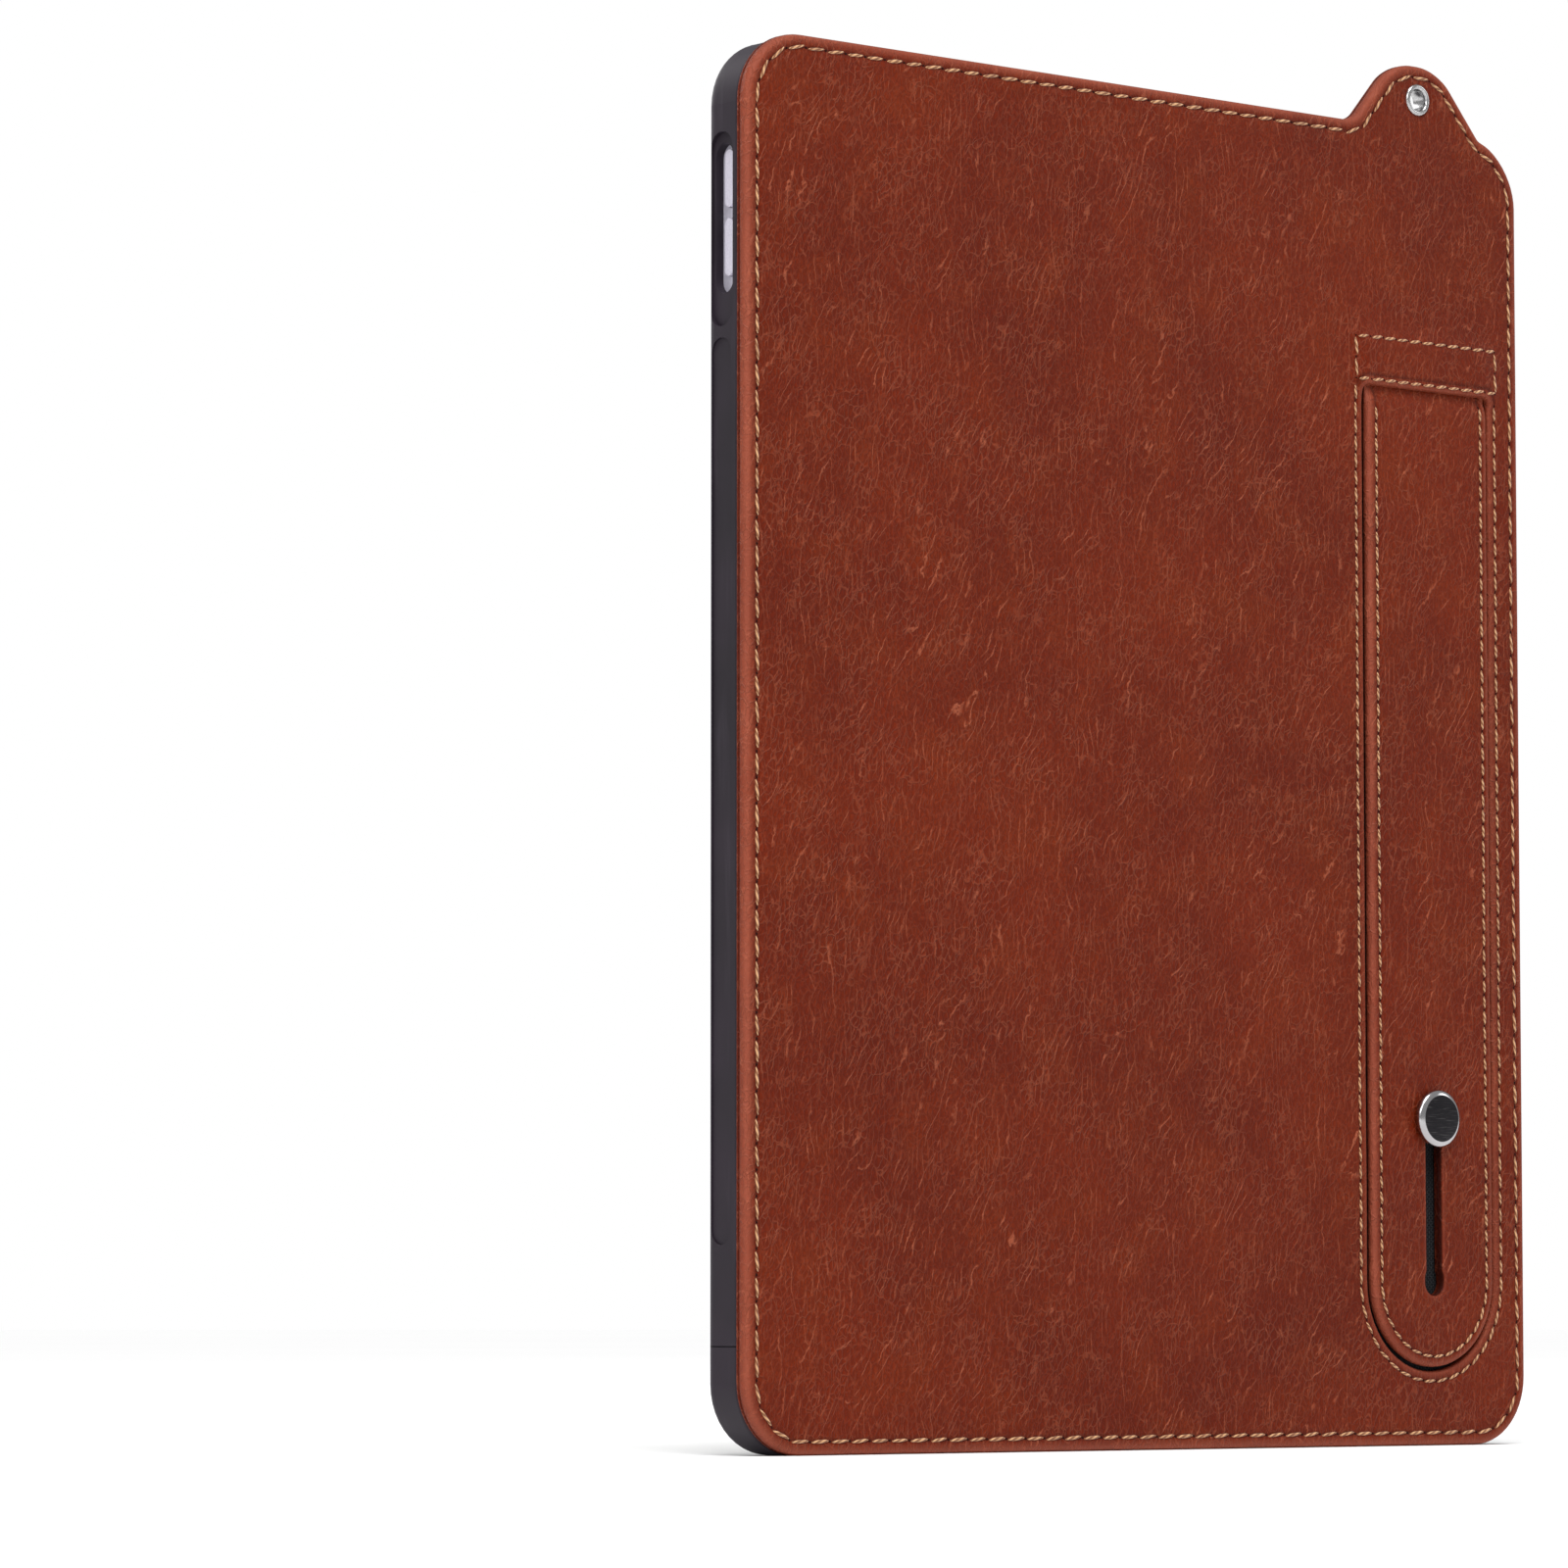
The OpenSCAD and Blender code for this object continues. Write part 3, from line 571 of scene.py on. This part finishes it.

# sizes are in millimetres; a profile's rows are (inset, y, and a third value): above 0 it lightens worn
# leather together with a painted highlight on rounded edges, and below 0 it darkens grooves and the gaps
# between layers as painted shade
leatherBack = {
    # corners (x, z, radius); the last five draw the lanyard tab and the shoulder beside it
    "outline": [(-caseHalf, 0, 13), (caseHalf, 0, 13), (caseHalf, caseTop, 13), (-53.2, caseTop, 5),
                (-64, tabTop, 11), (-76, tabTop, 11), (-87.11, 252.64, 2), (-caseHalf, 249.62, 13)],
    "side": (0, 2.9, 0.55),     # where the turned edge is widest
    "turnedEdge": [(0.05, 3.5, 0.75), (0.25, 4.05, 1), (0.6, 4.42, 0.9), (1.1, 4.57, 0.5), (1.8, 4.6, 0.1),
                   (2.2, 4.46, -0.3), (2.45, 4.38, -0.5), (2.7, 4.46, -0.2), (3.2, 4.6, 0), (4.0, 4.6, 0)],
    "stitchInset": 2.45,
    # the panel's underside, darkened as painted shade where it lies on the backing layer
    "under": [(0.08, 2.5, 0.1), (0.45, 2.36, -0.7), (1.9, 2.36, -0.7), (2.1, 2.72, 0)],
    "faceY": 4.6,
    "grooveY": 4.45,
    "underY": 2.72,
    "recessX": strapX,
    "recessHalf": 16.75,
    "recessFoot": 14.15,
    "recessStitchInset": 1.95,
    "seamZ": 202.0,         # the strap goes under the leather here
    "recessEdge": [(0, 3.6, 0.1), (-0.1, 4.1, 0.5), (-0.4, 4.5, 0.7), (-0.9, 4.6, 0.35), (-1.5, 4.6, 0),
                   (-1.75, 4.46, -0.3), (-1.95, 4.4, -0.5), (-2.2, 4.47, -0.2), (-2.6, 4.6, 0),
                   (-3.4, 4.6, 0)],
    "boxFoot": 203.1,       # the sewn box over the strap's end
    "boxTop": 211.3,
    "bulge": 0.85,
    "wave": 0.1,
    "tabFoot": 255,
    "tabFrontY": 1.62,
    "eyelet": (-70.0, 258.6),
    "eyeletHole": 2.35,
    "stitchPitch": 4.6,
    "recessPitch": 3.3,
    "threadRadius": 0.32,
}


def recessCorners(p=leatherBack):
    x, half = p["recessX"], p["recessHalf"]
    return [(x - half, p["recessFoot"], half - 0.01), (x + half, p["recessFoot"], half - 0.01),
            (x + half, p["seamZ"], 1.2), (x - half, p["seamZ"], 1.2)]


def leatherRise(x, z, p=leatherBack):
    # how far the hide stands above its flat: over the strap's sewn-in end, and in slow waves elsewhere
    reach = abs(x - p["recessX"])
    box = (1 - smoothStep(reach, 15.2, 20.4)) * smoothStep(z, 199.0, 202.6)
    box *= 1 - smoothStep(z, 210.0, 214.5)
    edge = min(caseHalf - abs(x), z, max(0, caseTop - z))
    slow = noise.noise((x * 0.035, z * 0.035, 3.0)) + 0.5 * noise.noise((x * 0.11, z * 0.07, 8.0))
    return p["bulge"] * box + p["wave"] * slow * smoothStep(edge, 3.0, 9.0)


def makeLeatherBack(p=leatherBack):
    bm = bmesh.new()
    underY = p["underY"]
    outer = ringFrom(bm, p["outline"], p["side"], p["turnedEdge"])
    outerUnder = ringFrom(bm, p["outline"], p["side"], p["under"], -1)
    inner = ringFrom(bm, recessCorners(), (0, underY, 0), p["recessEdge"])
    innerUnder = ringFrom(bm, recessCorners(), (0, underY, 0), [(-0.002, underY, 0)], -1)
    backRim = punchedRim(bm, p["eyelet"], p["eyeletHole"], p["faceY"])
    fillFlat(bm, [outer, inner, backRim], 1)
    frontRim = punchedRim(bm, p["eyelet"], p["eyeletHole"], underY)
    fillFlat(bm, [outerUnder, innerUnder, frontRim], -1)
    bmesh.ops.bridge_loops(bm, edges=backRim + frontRim)
    cutAcross(bm, 0, evenly(-94, 94, 9.4))
    cutAcross(bm, 2, evenly(4, 250, 9.5))

    def byStrapEnd(place):
        return place.y > 4.3 and -95 < place.x < -47 and 196 < place.z < 218

    cutAcross(bm, 0, evenly(-91.8, -87, 0.8) + evenly(-56.2, -51.4, 0.8), byStrapEnd)
    cutAcross(bm, 2, evenly(199.5, 215, 0.9), byStrapEnd)
    for v in bm.verts:
        share = smoothStep(v.co.y / mm, 3.2, 4.4)
        v.co.y += share * leatherRise(v.co.x / mm, v.co.z / mm) * mm
    piece = makePiece(bm, "leatherPanel", [leatherMaterial], restPlace=True)
    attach(piece, "reader")
    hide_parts("leather_back", "tab_lining")


def sewLeatherBack(p=leatherBack):
    bm = newThread()
    pitch, thick = p["stitchPitch"], p["threadRadius"]
    finePitch, thin = p["recessPitch"], p["threadRadius"] * 0.9
    edge = tracedPath(p["outline"], p["stitchInset"])

    def onFace(place):
        return p["faceY"] + leatherRise(place.x, place.y)

    def inGroove(place):
        return p["grooveY"] + leatherRise(place.x, place.y)

    sew(bm, edge, inGroove, pitch, thick)
    sew(bm, tracedPath(recessCorners(), -p["recessStitchInset"]), inGroove, finePitch, thin,
        keep=lambda place: place.y < p["seamZ"] - 0.5)
    left, right = [p["recessX"] + way * (p["recessHalf"] + p["recessStitchInset"]) for way in (-1, 1)]
    low, high = p["boxFoot"], p["boxTop"]
    box = [Vector(corner) for corner in ((right, low), (right, high), (left, high), (left, low))]
    for start, end in zip(box, box[1:] + box[:1]):
        sew(bm, [start, end], onFace, finePitch, thin, closed=False)
    # the same edge thread, seen on the front of the tab
    sew(bm, edge, lambda place: p["tabFrontY"], pitch, thick, side=-1,
        keep=lambda place: place.y > p["tabFoot"])
    piece = makePiece(bm, "panelStitches", [threadMaterial, holeShadeMaterial], merge=1e-7)
    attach(piece, "reader")


makeLeatherBack()
sewLeatherBack()
print("leather panel made")


backingLayer = {
    # below 0, the third value of these rows paints shade on the layer's side and back, between the panel and
    # the shell
    "side": (0, 2.0, -0.12),
    "front": [(0.06, 1.78, 0.1), (0.3, 1.6, 0), (0.9, 1.6, 0)],
    "back": [(0.06, 2.2, -0.4), (0.3, 2.34, -0.7), (0.9, 2.34, -0.7)],
    "opening": [(-94.9, 2.1, 11), (94.9, 2.1, 11), (94.9, 252.9, 11), (-94.9, 252.9, 11)],
}


def makeBackingLayer(p=backingLayer, panel=leatherBack):
    # a thin leather frame between the panel and the shell; it also lines the tab
    bm = bmesh.new()
    openings, holes = [], []
    for side, rows in ((-1, p["front"]), (1, p["back"])):
        y = rows[-1][1]
        outer = ringFrom(bm, panel["outline"], p["side"], rows, side)
        openings.append(ringFrom(bm, p["opening"], (0, y, 0), [(-0.002, y, 0)], side))
        holes.append(punchedRim(bm, panel["eyelet"], panel["eyeletHole"], y))
        fillFlat(bm, [outer, openings[-1], holes[-1]], side)
    bmesh.ops.bridge_loops(bm, edges=openings[0] + openings[1])
    bmesh.ops.bridge_loops(bm, edges=holes[0] + holes[1])
    piece = makePiece(bm, "backingLayer", [leatherMaterial], restPlace=True)
    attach(piece, "reader")


makeBackingLayer()
print("backing layer made")


recessCloth = {
    "corners": [(-93.5, 9.0, 21.8), (-49.7, 9.0, 21.8), (-49.7, 207.0, 2), (-93.5, 207.0, 2)],
    "flat": (0.0438, 0.198),    # in metres
    "y": (2.42, 2.68),
}


def makeRecessCloth(p=recessCloth):
    bm = bmesh.new()
    low, high = p["y"]
    face = outlineFace(bm, p["corners"], low)
    raised = bmesh.ops.extrude_face_region(bm, geom=[face])["geom"]
    upper = [part for part in raised if isinstance(part, bmesh.types.BMVert)]
    bmesh.ops.translate(bm, vec=(0, (high - low) * mm, 0), verts=upper)
    cutAcross(bm, 2, evenly(20, 200, 10))
    piece = makePiece(bm, "recessCloth", [liningFinish("lining")], smooth=False)
    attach(piece, "reader")
    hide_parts("recess_lining")


makeRecessCloth()
print("recess cloth made")


strap = {
    "x": strapX,
    "half": 16.0,
    "foot": 14.9,
    "top": 205.0,
    "middle": 4.2,
    # as for the panel: above 0 worn rounded edges with a painted highlight, below 0 painted shade in the
    # stitch groove
    "back": [(0.04, 4.62, 0.8), (0.22, 5.02, 1), (0.55, 5.28, 0.8), (1.0, 5.4, 0.35), (1.5, 5.4, 0),
             (1.8, 5.27, -0.3), (2.0, 5.22, -0.5), (2.25, 5.28, -0.2), (2.7, 5.4, 0), (3.6, 5.4, 0)],
    "front": [(0.04, 3.78, 0.6), (0.22, 3.38, 0.3), (0.55, 3.12, 0), (1.0, 3.0, 0), (3.6, 3.0, 0)],
    # the slot's walls are painted shade below 0, with a painted highlight on the slot's edge
    "slotBack": [(0, 5.1, -0.9), (-0.1, 5.28, -0.2), (-0.3, 5.38, 0.4), (-0.7, 5.4, 0.1), (-1.1, 5.4, 0)],
    "slotFront": [(0, 3.3, -0.3), (-0.2, 3.05, 0), (-0.7, 3.0, 0), (-1.1, 3.0, 0)],
    "slotHalf": 2.05,
    "slotTop": 62.1,
    "slotFoot": 30.9,
    "keyhole": 2.45,        # the slot's wider round end
    "hingeTop": 198.0,
    "pitch": 10.7,          # from one bend to the next
    "links": 12,
    "dip": 1.15,
    "wave": 0.07,
    "stitchInset": 2.0,
    "stitchY": 5.27,
    "stitchTop": 199.5,
    "stitchPitch": 3.0,
    "threadRadius": 0.28,
}


def slotCorners(p=strap):
    x, half, end = p["x"], p["slotHalf"], p["keyhole"]
    low, high = p["slotFoot"], p["slotTop"]
    return [(x - end, low - end, end - 0.01), (x + end, low - end, end - 0.01),
            (x + end, low + 1.2, 0.9), (x + half, low + 2.3, 0.9),
            (x + half, high + half, half - 0.01), (x - half, high + half, half - 0.01),
            (x - half, low + 2.3, 0.9), (x - end, low + 1.2, 0.9)]


def strapCorners(p=strap):
    x, half = p["x"], p["half"]
    return [(x - half, p["foot"], half - 0.01), (x + half, p["foot"], half - 0.01),
            (x + half, p["top"], 0), (x - half, p["top"], 0)]


def strapFall(x, z, p=strap):
    # the strap thins and goes down under the panel at the seam; elsewhere it waves a little
    slow = noise.noise((x * 0.05, z * 0.03, 1.0)) + 0.5 * noise.noise((x * 0.16, z * 0.09, 5.0))
    return p["wave"] * slow - p["dip"] * smoothStep(z, 198.6, 202.0)


def wholeStrap(p=strap):
    bm = bmesh.new()
    side = (0, p["middle"], 0.6)
    for way, rows, slotRows in ((1, p["back"], p["slotBack"]), (-1, p["front"], p["slotFront"])):
        outer = ringFrom(bm, strapCorners(), side, rows, way)
        slot = ringFrom(bm, slotCorners(), (0, p["middle"], -1), slotRows, way)
        fillFlat(bm, [outer, slot], way)
    bmesh.ops.remove_doubles(bm, verts=bm.verts, dist=2e-6)
    cutAcross(bm, 0, [p["x"] + dx for dx in (-9, -5.5, 0, 5.5, 9)])
    cutAcross(bm, 2, evenly(20, 204.2, 1.53))
    for v in bm.verts:
        v.co.y += smoothStep(v.co.y / mm, 4.0, 5.2) * strapFall(v.co.x / mm, v.co.z / mm) * mm
    bmesh.ops.recalc_face_normals(bm, faces=bm.faces)
    return bm


def cutBand(whole, low, high):
    # a copy of the strap between two heights, with flat ends
    bm = whole.copy()
    for place, above in ((low, False), (high, True)):
        if place is None:
            continue
        geometry = bm.verts[:] + bm.edges[:] + bm.faces[:]
        cut = bmesh.ops.bisect_plane(bm, geom=geometry, dist=1e-7, plane_co=(0, 0, place * mm),
                                     plane_no=(0, 0, 1), clear_outer=above, clear_inner=not above)
        edges = [part for part in cut["geom_cut"] if isinstance(part, bmesh.types.BMEdge)]
        bmesh.ops.triangle_fill(bm, edges=edges, use_beauty=True, normal=(0, 0, 1 if above else -1))
        for edge in edges:
            edge.smooth = False
    return bm


def makeStrap(p=strap):
    # one band of leather for each bend, from the middle of one stretch to the middle of the next
    whole = wholeStrap()
    bodies = ["reader"] + [f"strap_link_{k + 1}" for k in range(p["links"])] + ["strap_tip"]
    middles = [p["hingeTop"] - p["pitch"] * (k - 0.5) for k in range(1, p["links"] + 1)]
    starts = [p["hingeTop"] + 3.5] + middles
    ends = middles + [p["hingeTop"] - p["pitch"] * p["links"] - p["pitch"] / 2]
    stitchPath = tracedPath(strapCorners(), p["stitchInset"])
    for k, (start, end) in enumerate(zip(starts, ends)):
        high = None if k == 0 else start
        low = None if k == p["links"] else end
        band = makePiece(cutBand(whole, low, high), f"strapBand{k}", [leatherMaterial], restPlace=True)
        upper = p["stitchTop"] if high is None else high
        lower = -math.inf if low is None else low
        threads = newThread()
        sew(threads, stitchPath, lambda place: p["stitchY"] + strapFall(place.x, place.y), p["stitchPitch"],
            p["threadRadius"], keep=lambda place: lower <= place.y < upper)
        stitches = makePiece(threads, f"strapStitches{k}", [threadMaterial, holeShadeMaterial], merge=1e-7)
        for piece in (band, stitches):
            bodies[k + 1]
            p["x"] * mm
            p["middle"] * mm
            start * mm
            p["x"] * mm
            p["middle"] * mm
            end * mm
            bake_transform(piece)
        if k == 0:
            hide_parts("strap_tail")
        elif k == p["links"]:
            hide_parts(f"strap_segment_{k}", "strap_end")
        else:
            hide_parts(f"strap_segment_{k}")
    whole.free()


makeStrap()
print("strap made")


# turned profiles, as rows of (radius, y)
stud = {
    "centre": (strap["x"], strap["slotTop"]),
    "profile": [(0, 7.6), (4.35, 7.6), (4.5, 7.58), (5.15, 7.22), (5.38, 7.0), (5.45, 6.75), (5.45, 6.3),
                (5.36, 6.0), (5.1, 5.8), (4.6, 5.7), (1.75, 5.7), (1.7, 5.6), (1.7, 2.5), (0, 2.5)],
    "flat": 4.45,           # radius of the dark flat inside the bevel
    "steps": 72,
}
eyelet = {
    "centre": leatherBack["eyelet"],
    "profile": [(2.0, 1.55), (2.02, 4.4), (2.1, 4.78), (2.32, 5.0), (2.6, 5.05), (2.88, 4.96), (3.05, 4.76),
                (3.1, 4.55), (2.36, 4.5), (2.35, 1.7), (3.3, 1.68), (3.42, 1.5), (3.3, 1.32), (2.95, 1.24),
                (2.3, 1.25), (2.06, 1.36), (2.0, 1.55)],
    "steps": 64,
}


def makeMetalwork():
    bm = bmesh.new()
    lathe(bm, stud["profile"], stud["centre"], stud["steps"])
    head = makePiece(bm, "studTurned", [studFinish("studMetal", stud["centre"], stud["flat"])])
    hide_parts("stud_head", "stud_post")
    bm = bmesh.new()
    lathe(bm, eyelet["profile"], eyelet["centre"], eyelet["steps"])
    chrome = metalFinish("chrome", tone(150, 149, 150), tone(205, 204, 204), 0.17,
                         grainRough=0.08, grainBump=0.015)
    ring = makePiece(bm, "eyeletTurned", [chrome])
    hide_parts("eyelet_barrel", "eyelet_washer")
    for piece in (head, ring):
        piece.data.set_sharp_from_angle(angle=math.radians(38))
        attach(piece, "reader")


makeMetalwork()
print("stud and eyelet made")


page = {
    "left": -68.7,
    "right": 88.5,
    "foot": 31.4,
    "head": 241.0,
    "margin": 15.0,
    "linePitch": 5.1,
    "shortLine": 70.0,      # how much the last line of a paragraph can fall short
    "textFoot": 43.4,
    "pictureFoot": 150.0,
    "leafCentre": (12.0, 190.0),
    "leafTurn": 0.42,       # in radians
    "leafLength": 96.0,
    "leafWidth": 19.0,
}


def pageFinish(name, p=page):
    # etched glass over a grey bezel and a white page, with lines of stand-in marks and a leaf drawing
    f = Finish(name, {"Specular IOR Level": 0.45})
    spot = f.place()
    x, _, z = f.axes(spot)

    def between(value, low, high, soft):
        # 1 from low to high, with soft edges
        return f.band(value, low - soft, low + soft) * f.band(value, high - soft, high + soft, (1.0, 0.0))

    inside = between(x, p["left"], p["right"], 0.1) * between(z, p["foot"], p["head"], 0.1)
    across, down = x - p["left"], p["head"] - z
    row = (down / p["linePitch"]).floor()
    inRow = (down / p["linePitch"]).part()
    # every row cuts its own strip out of a cloud for the marks, and out of cells for the words
    marks = f.node("ShaderNodeCombineXYZ", None, {"X": across * 1.05, "Y": row * 7.31, "Z": inRow * 1.6})
    mark = f.band(f.cloud(marks, 1.0, 2.0, 0.6), 0.44, 0.52)
    words = f.node("ShaderNodeCombineXYZ", None, {"X": across * 0.16, "Y": row * 3.7, "Z": 0.0})
    gap = f.band(f.cells(words, 1.0), 0.03, 0.06)
    body = f.band(inRow, 0.24, 0.3) * f.band(inRow, 0.64, 0.7, (1.0, 0.0))
    width = p["right"] - p["left"]
    rowEnd = f.node("ShaderNodeTexWhiteNoise", {"noise_dimensions": "1D"}, {"W": row + 11.5})
    endAt = width - p["margin"] - f.band(rowEnd, 0.72, 1.0) * p["shortLine"]
    column = f.band(across, p["margin"], p["margin"] + 0.2) * f.band(across - endAt, -0.2, 0.2, (1.0, 0.0))
    text = mark * gap * body * column * f.band(z, p["textFoot"], p["textFoot"] + 0.2)
    text = text * f.band(z, p["pictureFoot"], p["pictureFoot"] + 0.2, (1.0, 0.0))
    # the leaf lies along u from 0 to 1, with v across it in millimetres
    middleX, middleZ = p["leafCentre"]
    cosine, sine = math.cos(p["leafTurn"]), math.sin(p["leafTurn"])
    u = ((x - middleX) * cosine + (z - middleZ) * sine) / p["leafLength"] + 0.5
    v = (z - middleZ) * cosine - (x - middleX) * sine + (u * 3.1416).wave() * 5 - 3
    half = (u.most(0.0).least(1.0) * 3.1416).wave().most(0.0).raised(0.75) * p["leafWidth"]
    out = abs(v)
    border = f.band(abs(out - half + f.cloud(spot, 0.5, 2.0) * 0.6), 0.28, 0.55, (1.0, 0.0))
    within = f.band(half - out, 0.0, 0.3)
    along = f.band(u, 0.0, 0.004) * f.band(u, 0.996, 1.0, (1.0, 0.0))
    rib = f.band(out, 0.25, 0.55, (1.0, 0.0)) * f.band(u, -0.22, -0.2) * f.band(u, 0.97, 1.0, (1.0, 0.0))
    vein = f.band(abs((u * 10.0 - out * 0.075).part() - 0.5), 0.012, 0.035, (1.0, 0.0)) * within
    hatch = f.band((u * 420.0 + v * 1.2).wave(), 0.3, 0.9) * within
    hatch = hatch * f.band(f.cloud(spot, 0.09, 2.0), 0.42, 0.6) * 0.4
    leaf = (border.most(vein).most(hatch) * along).most(rib)
    paper = f.cloud(spot, 3.0, 2.0)
    sheetColour = f.mix(paper, tone(226, 226, 222), tone(236, 236, 232))
    sheetColour = f.mix(text.most(leaf * 0.82), sheetColour, tone(46, 46, 48))
    # the bezel is painted lighter towards the top, with a soft cloud in the change: a painted light gradient
    shade = f.band(f.cloud(spot, 0.012, 1.0) * 60 + z, 40, 260)
    bezel = f.mix(shade, tone(70, 70, 74), tone(88, 88, 92))
    f.feed(Base_Color=f.mix(inside, bezel, sheetColour), Roughness=0.34 + paper * 0.08 + inside * 0.14)
    f.bump(f.cloud(spot, 7.0), 0.08, 0.00003)
    return f.material


housingSide = {
    "sideX": 92.5,
    "buttonY": -3.2,
    "buttonZ": (226.8, 214.4),
    "buttonHalf": 5.15,
    "shadeRingRadius": 1.32,
}


def housingFinish(name, p=housingSide):
    # anodised silver, with a thin dark ring of painted shade round each volume button, standing in for the
    # shadow in its gap
    f = Finish(name, {"Metallic": 0.45})
    spot = f.place()
    x, y, z = f.axes(spot)
    grain = f.cloud(spot, 2.0, 3.0, 0.7)
    across = y - p["buttonY"]

    def shadeRingRound(middle):
        along = (abs(z - middle) - (p["buttonHalf"] - p["shadeRingRadius"])).most(0.0)
        reach = (across * across + along * along).root()
        return f.band(abs(reach - p["shadeRingRadius"]), 0.07, 0.17, (1.0, 0.0))

    # the ring round each button is painted shade, not a dark material
    upper, lower = [shadeRingRound(middle) for middle in p["buttonZ"]]
    gap = upper.most(lower) * f.band(x, p["sideX"] - 0.5, p["sideX"] + 0.5)
    colour = f.mix(f.band(grain, 0.25, 0.75), tone(206, 202, 216), tone(220, 216, 229))
    f.feed(Base_Color=f.mix(gap * 0.8, colour, tone(40, 36, 46)), Roughness=0.32 + grain * 0.12)
    f.bump(grain, 0.1, 0.00003)
    return f.material


# one finish for each material slot of the parts that keep their own shape
partFinish = {
    "shell": shellFinish("shell"),
    "board": plasticFinish("board", tone(128, 118, 100), tone(150, 140, 120), 0.8, 0.8, 0.5),
    "housing": housingFinish("housing"),
    "button": metalFinish("button", tone(214, 209, 224), tone(232, 228, 240), 0.28, metallic=0.4),
    "page_glass": pageFinish("pageGlass"),
    "dark_film": plasticFinish("darkFilm", tone(26, 26, 28), tone(40, 40, 43), 0.7, 0.5, 0.4),
    "clear_film": plasticFinish("clearFilm", tone(206, 216, 222), tone(222, 230, 234), 0.16, 0.06),
    "flex": plasticFinish("flex", tone(168, 98, 26), tone(214, 140, 52), 0.3, 0.25),
    "page": plasticFinish("pageFilm", tone(214, 214, 209), tone(228, 228, 223), 0.6, 0.2),
    "circuit_board": boardFinish("circuitBoard"),
    "frame_metal": metalFinish("frameMetal", tone(158, 158, 162), tone(196, 196, 200), 0.32,
                               grainScale=(14, 1, 1), grainRough=0.2),
    "frame_alloy": metalFinish("frameAlloy", tone(150, 152, 156), tone(176, 178, 182), 0.5, grainRough=0.12),
    "battery_pack": plasticFinish("batteryPack", tone(30, 31, 36), tone(52, 53, 60), 0.34, 0.12),
    "chip": plasticFinish("chip", tone(20, 20, 22), tone(36, 36, 39), 0.55, 1.5, 0.3),
    "speaker_box": plasticFinish("speakerBox", tone(28, 28, 30), tone(42, 42, 45), 0.5, 0.9, 0.3),
}


def paintParts():
    for part in frame["record"]["subparts"]:
        node = frame["nodes"][part["node"]]
        finish = partFinish.get(part["material_slot"])
        if node.hide_render or finish is None:
            continue
        node.data.materials.clear()
        node.data.materials.append(finish)


paintParts()
print("parts painted")


studio = {
    "floorRadius": 14.0,    # in metres, as the places below
    "ambient": 0.42,
    "backdrop": 1.0,
    "camera": (0.8524, 0.9320, 0.0240),
    "yaw": -140.52,
    "pitch": 4.486,
    "lens": 156.56,
    # place, target, strength and width in degrees
    "sun": ((0.5, 1.0, 2.2), (0, 0, 0), 2.3, 35.0),
    # place, target, size and power of each soft box
    "softBoxes": {
        "side": ((1.5, 0.5, 0.9), (0, 0, 0.14), 0.8, 5.0),
        "upper": ((0.5, 0.5, 0.62), (0.05, 0, 0.2), 0.45, 1.4),
        "rim": ((-1.3, 0.75, 0.8), (0, 0, 0.13), 0.6, 2.5),
        "front": ((0.3, -1.6, 1.1), (0, 0, 0.13), 1.1, 9.0),
    },
}


def floorPaperFinish(name):
    f = Finish(name, {"Specular IOR Level": 0.15})
    grain = f.cloud(f.place(), 0.002, 2.0)
    f.feed(Base_Color=f.mix(grain, tone(247, 247, 247), tone(250, 250, 250)), Roughness=0.85 + grain * 0.05)
    return f.material


def makeFloor(p=studio):
    bm = bmesh.new()
    bmesh.ops.create_circle(bm, cap_ends=True, segments=96, radius=p["floorRadius"])
    makePiece(bm, "studioFloor", [floorPaperFinish("floorPaper")], smooth=False)


def makeWorld(p=studio):
    # white to look at, softer as a light
    world = bpy.data.worlds.new("studioWorld")
    world.use_nodes = True
    graph = Graph(world.node_tree)
    backdrop = graph.tree.nodes["Background"]
    backdrop.inputs["Color"].default_value = (1, 1, 1, 1)
    seen = graph.node("ShaderNodeLightPath", out="Is Camera Ray")
    sockets = {"Value": seen, "To Min": p["ambient"], "To Max": p["backdrop"]}
    level = graph.node("ShaderNodeMapRange", None, sockets)
    graph.tree.links.new(level.socket, backdrop.inputs["Strength"])
    scene.world = world


def hangLight(light, place, target):
    lamp = bpy.data.objects.new(light.name, light)
    lamp.visible_camera = False
    lamp.location = place
    lamp.rotation_euler = (Vector(target) - Vector(place)).to_track_quat("-Z", "Y").to_euler()
    scene.collection.objects.link(lamp)


def makeLights(p=studio):
    place, target, strength, width = p["sun"]
    sun = bpy.data.lights.new("sun", "SUN")
    sun.energy = strength
    sun.angle = math.radians(width)
    hangLight(sun, place, target)
    for name, (place, target, size, power) in p["softBoxes"].items():
        box = bpy.data.lights.new(name, "AREA")
        box.shape = "DISK"
        box.size = size
        box.energy = power
        hangLight(box, place, target)


def makeCamera(p=studio):
    yaw = math.radians(p["yaw"])
    pitch = math.radians(p["pitch"])
    forward = Vector((math.cos(pitch) * math.sin(yaw), math.cos(pitch) * math.cos(yaw), math.sin(pitch)))
    data = bpy.data.cameras.new("camera")
    data.lens = p["lens"]
    data.sensor_width = 36
    data.clip_start = 0.01
    camera = bpy.data.objects.new("camera", data)
    camera.location = p["camera"]
    camera.rotation_euler = forward.to_track_quat("-Z", "Y").to_euler()
    scene.collection.objects.link(camera)
    scene.camera = camera


makeFloor()
makeWorld()
makeLights()
makeCamera()
scene.view_settings.view_transform = "Standard"
print("stage and camera set")
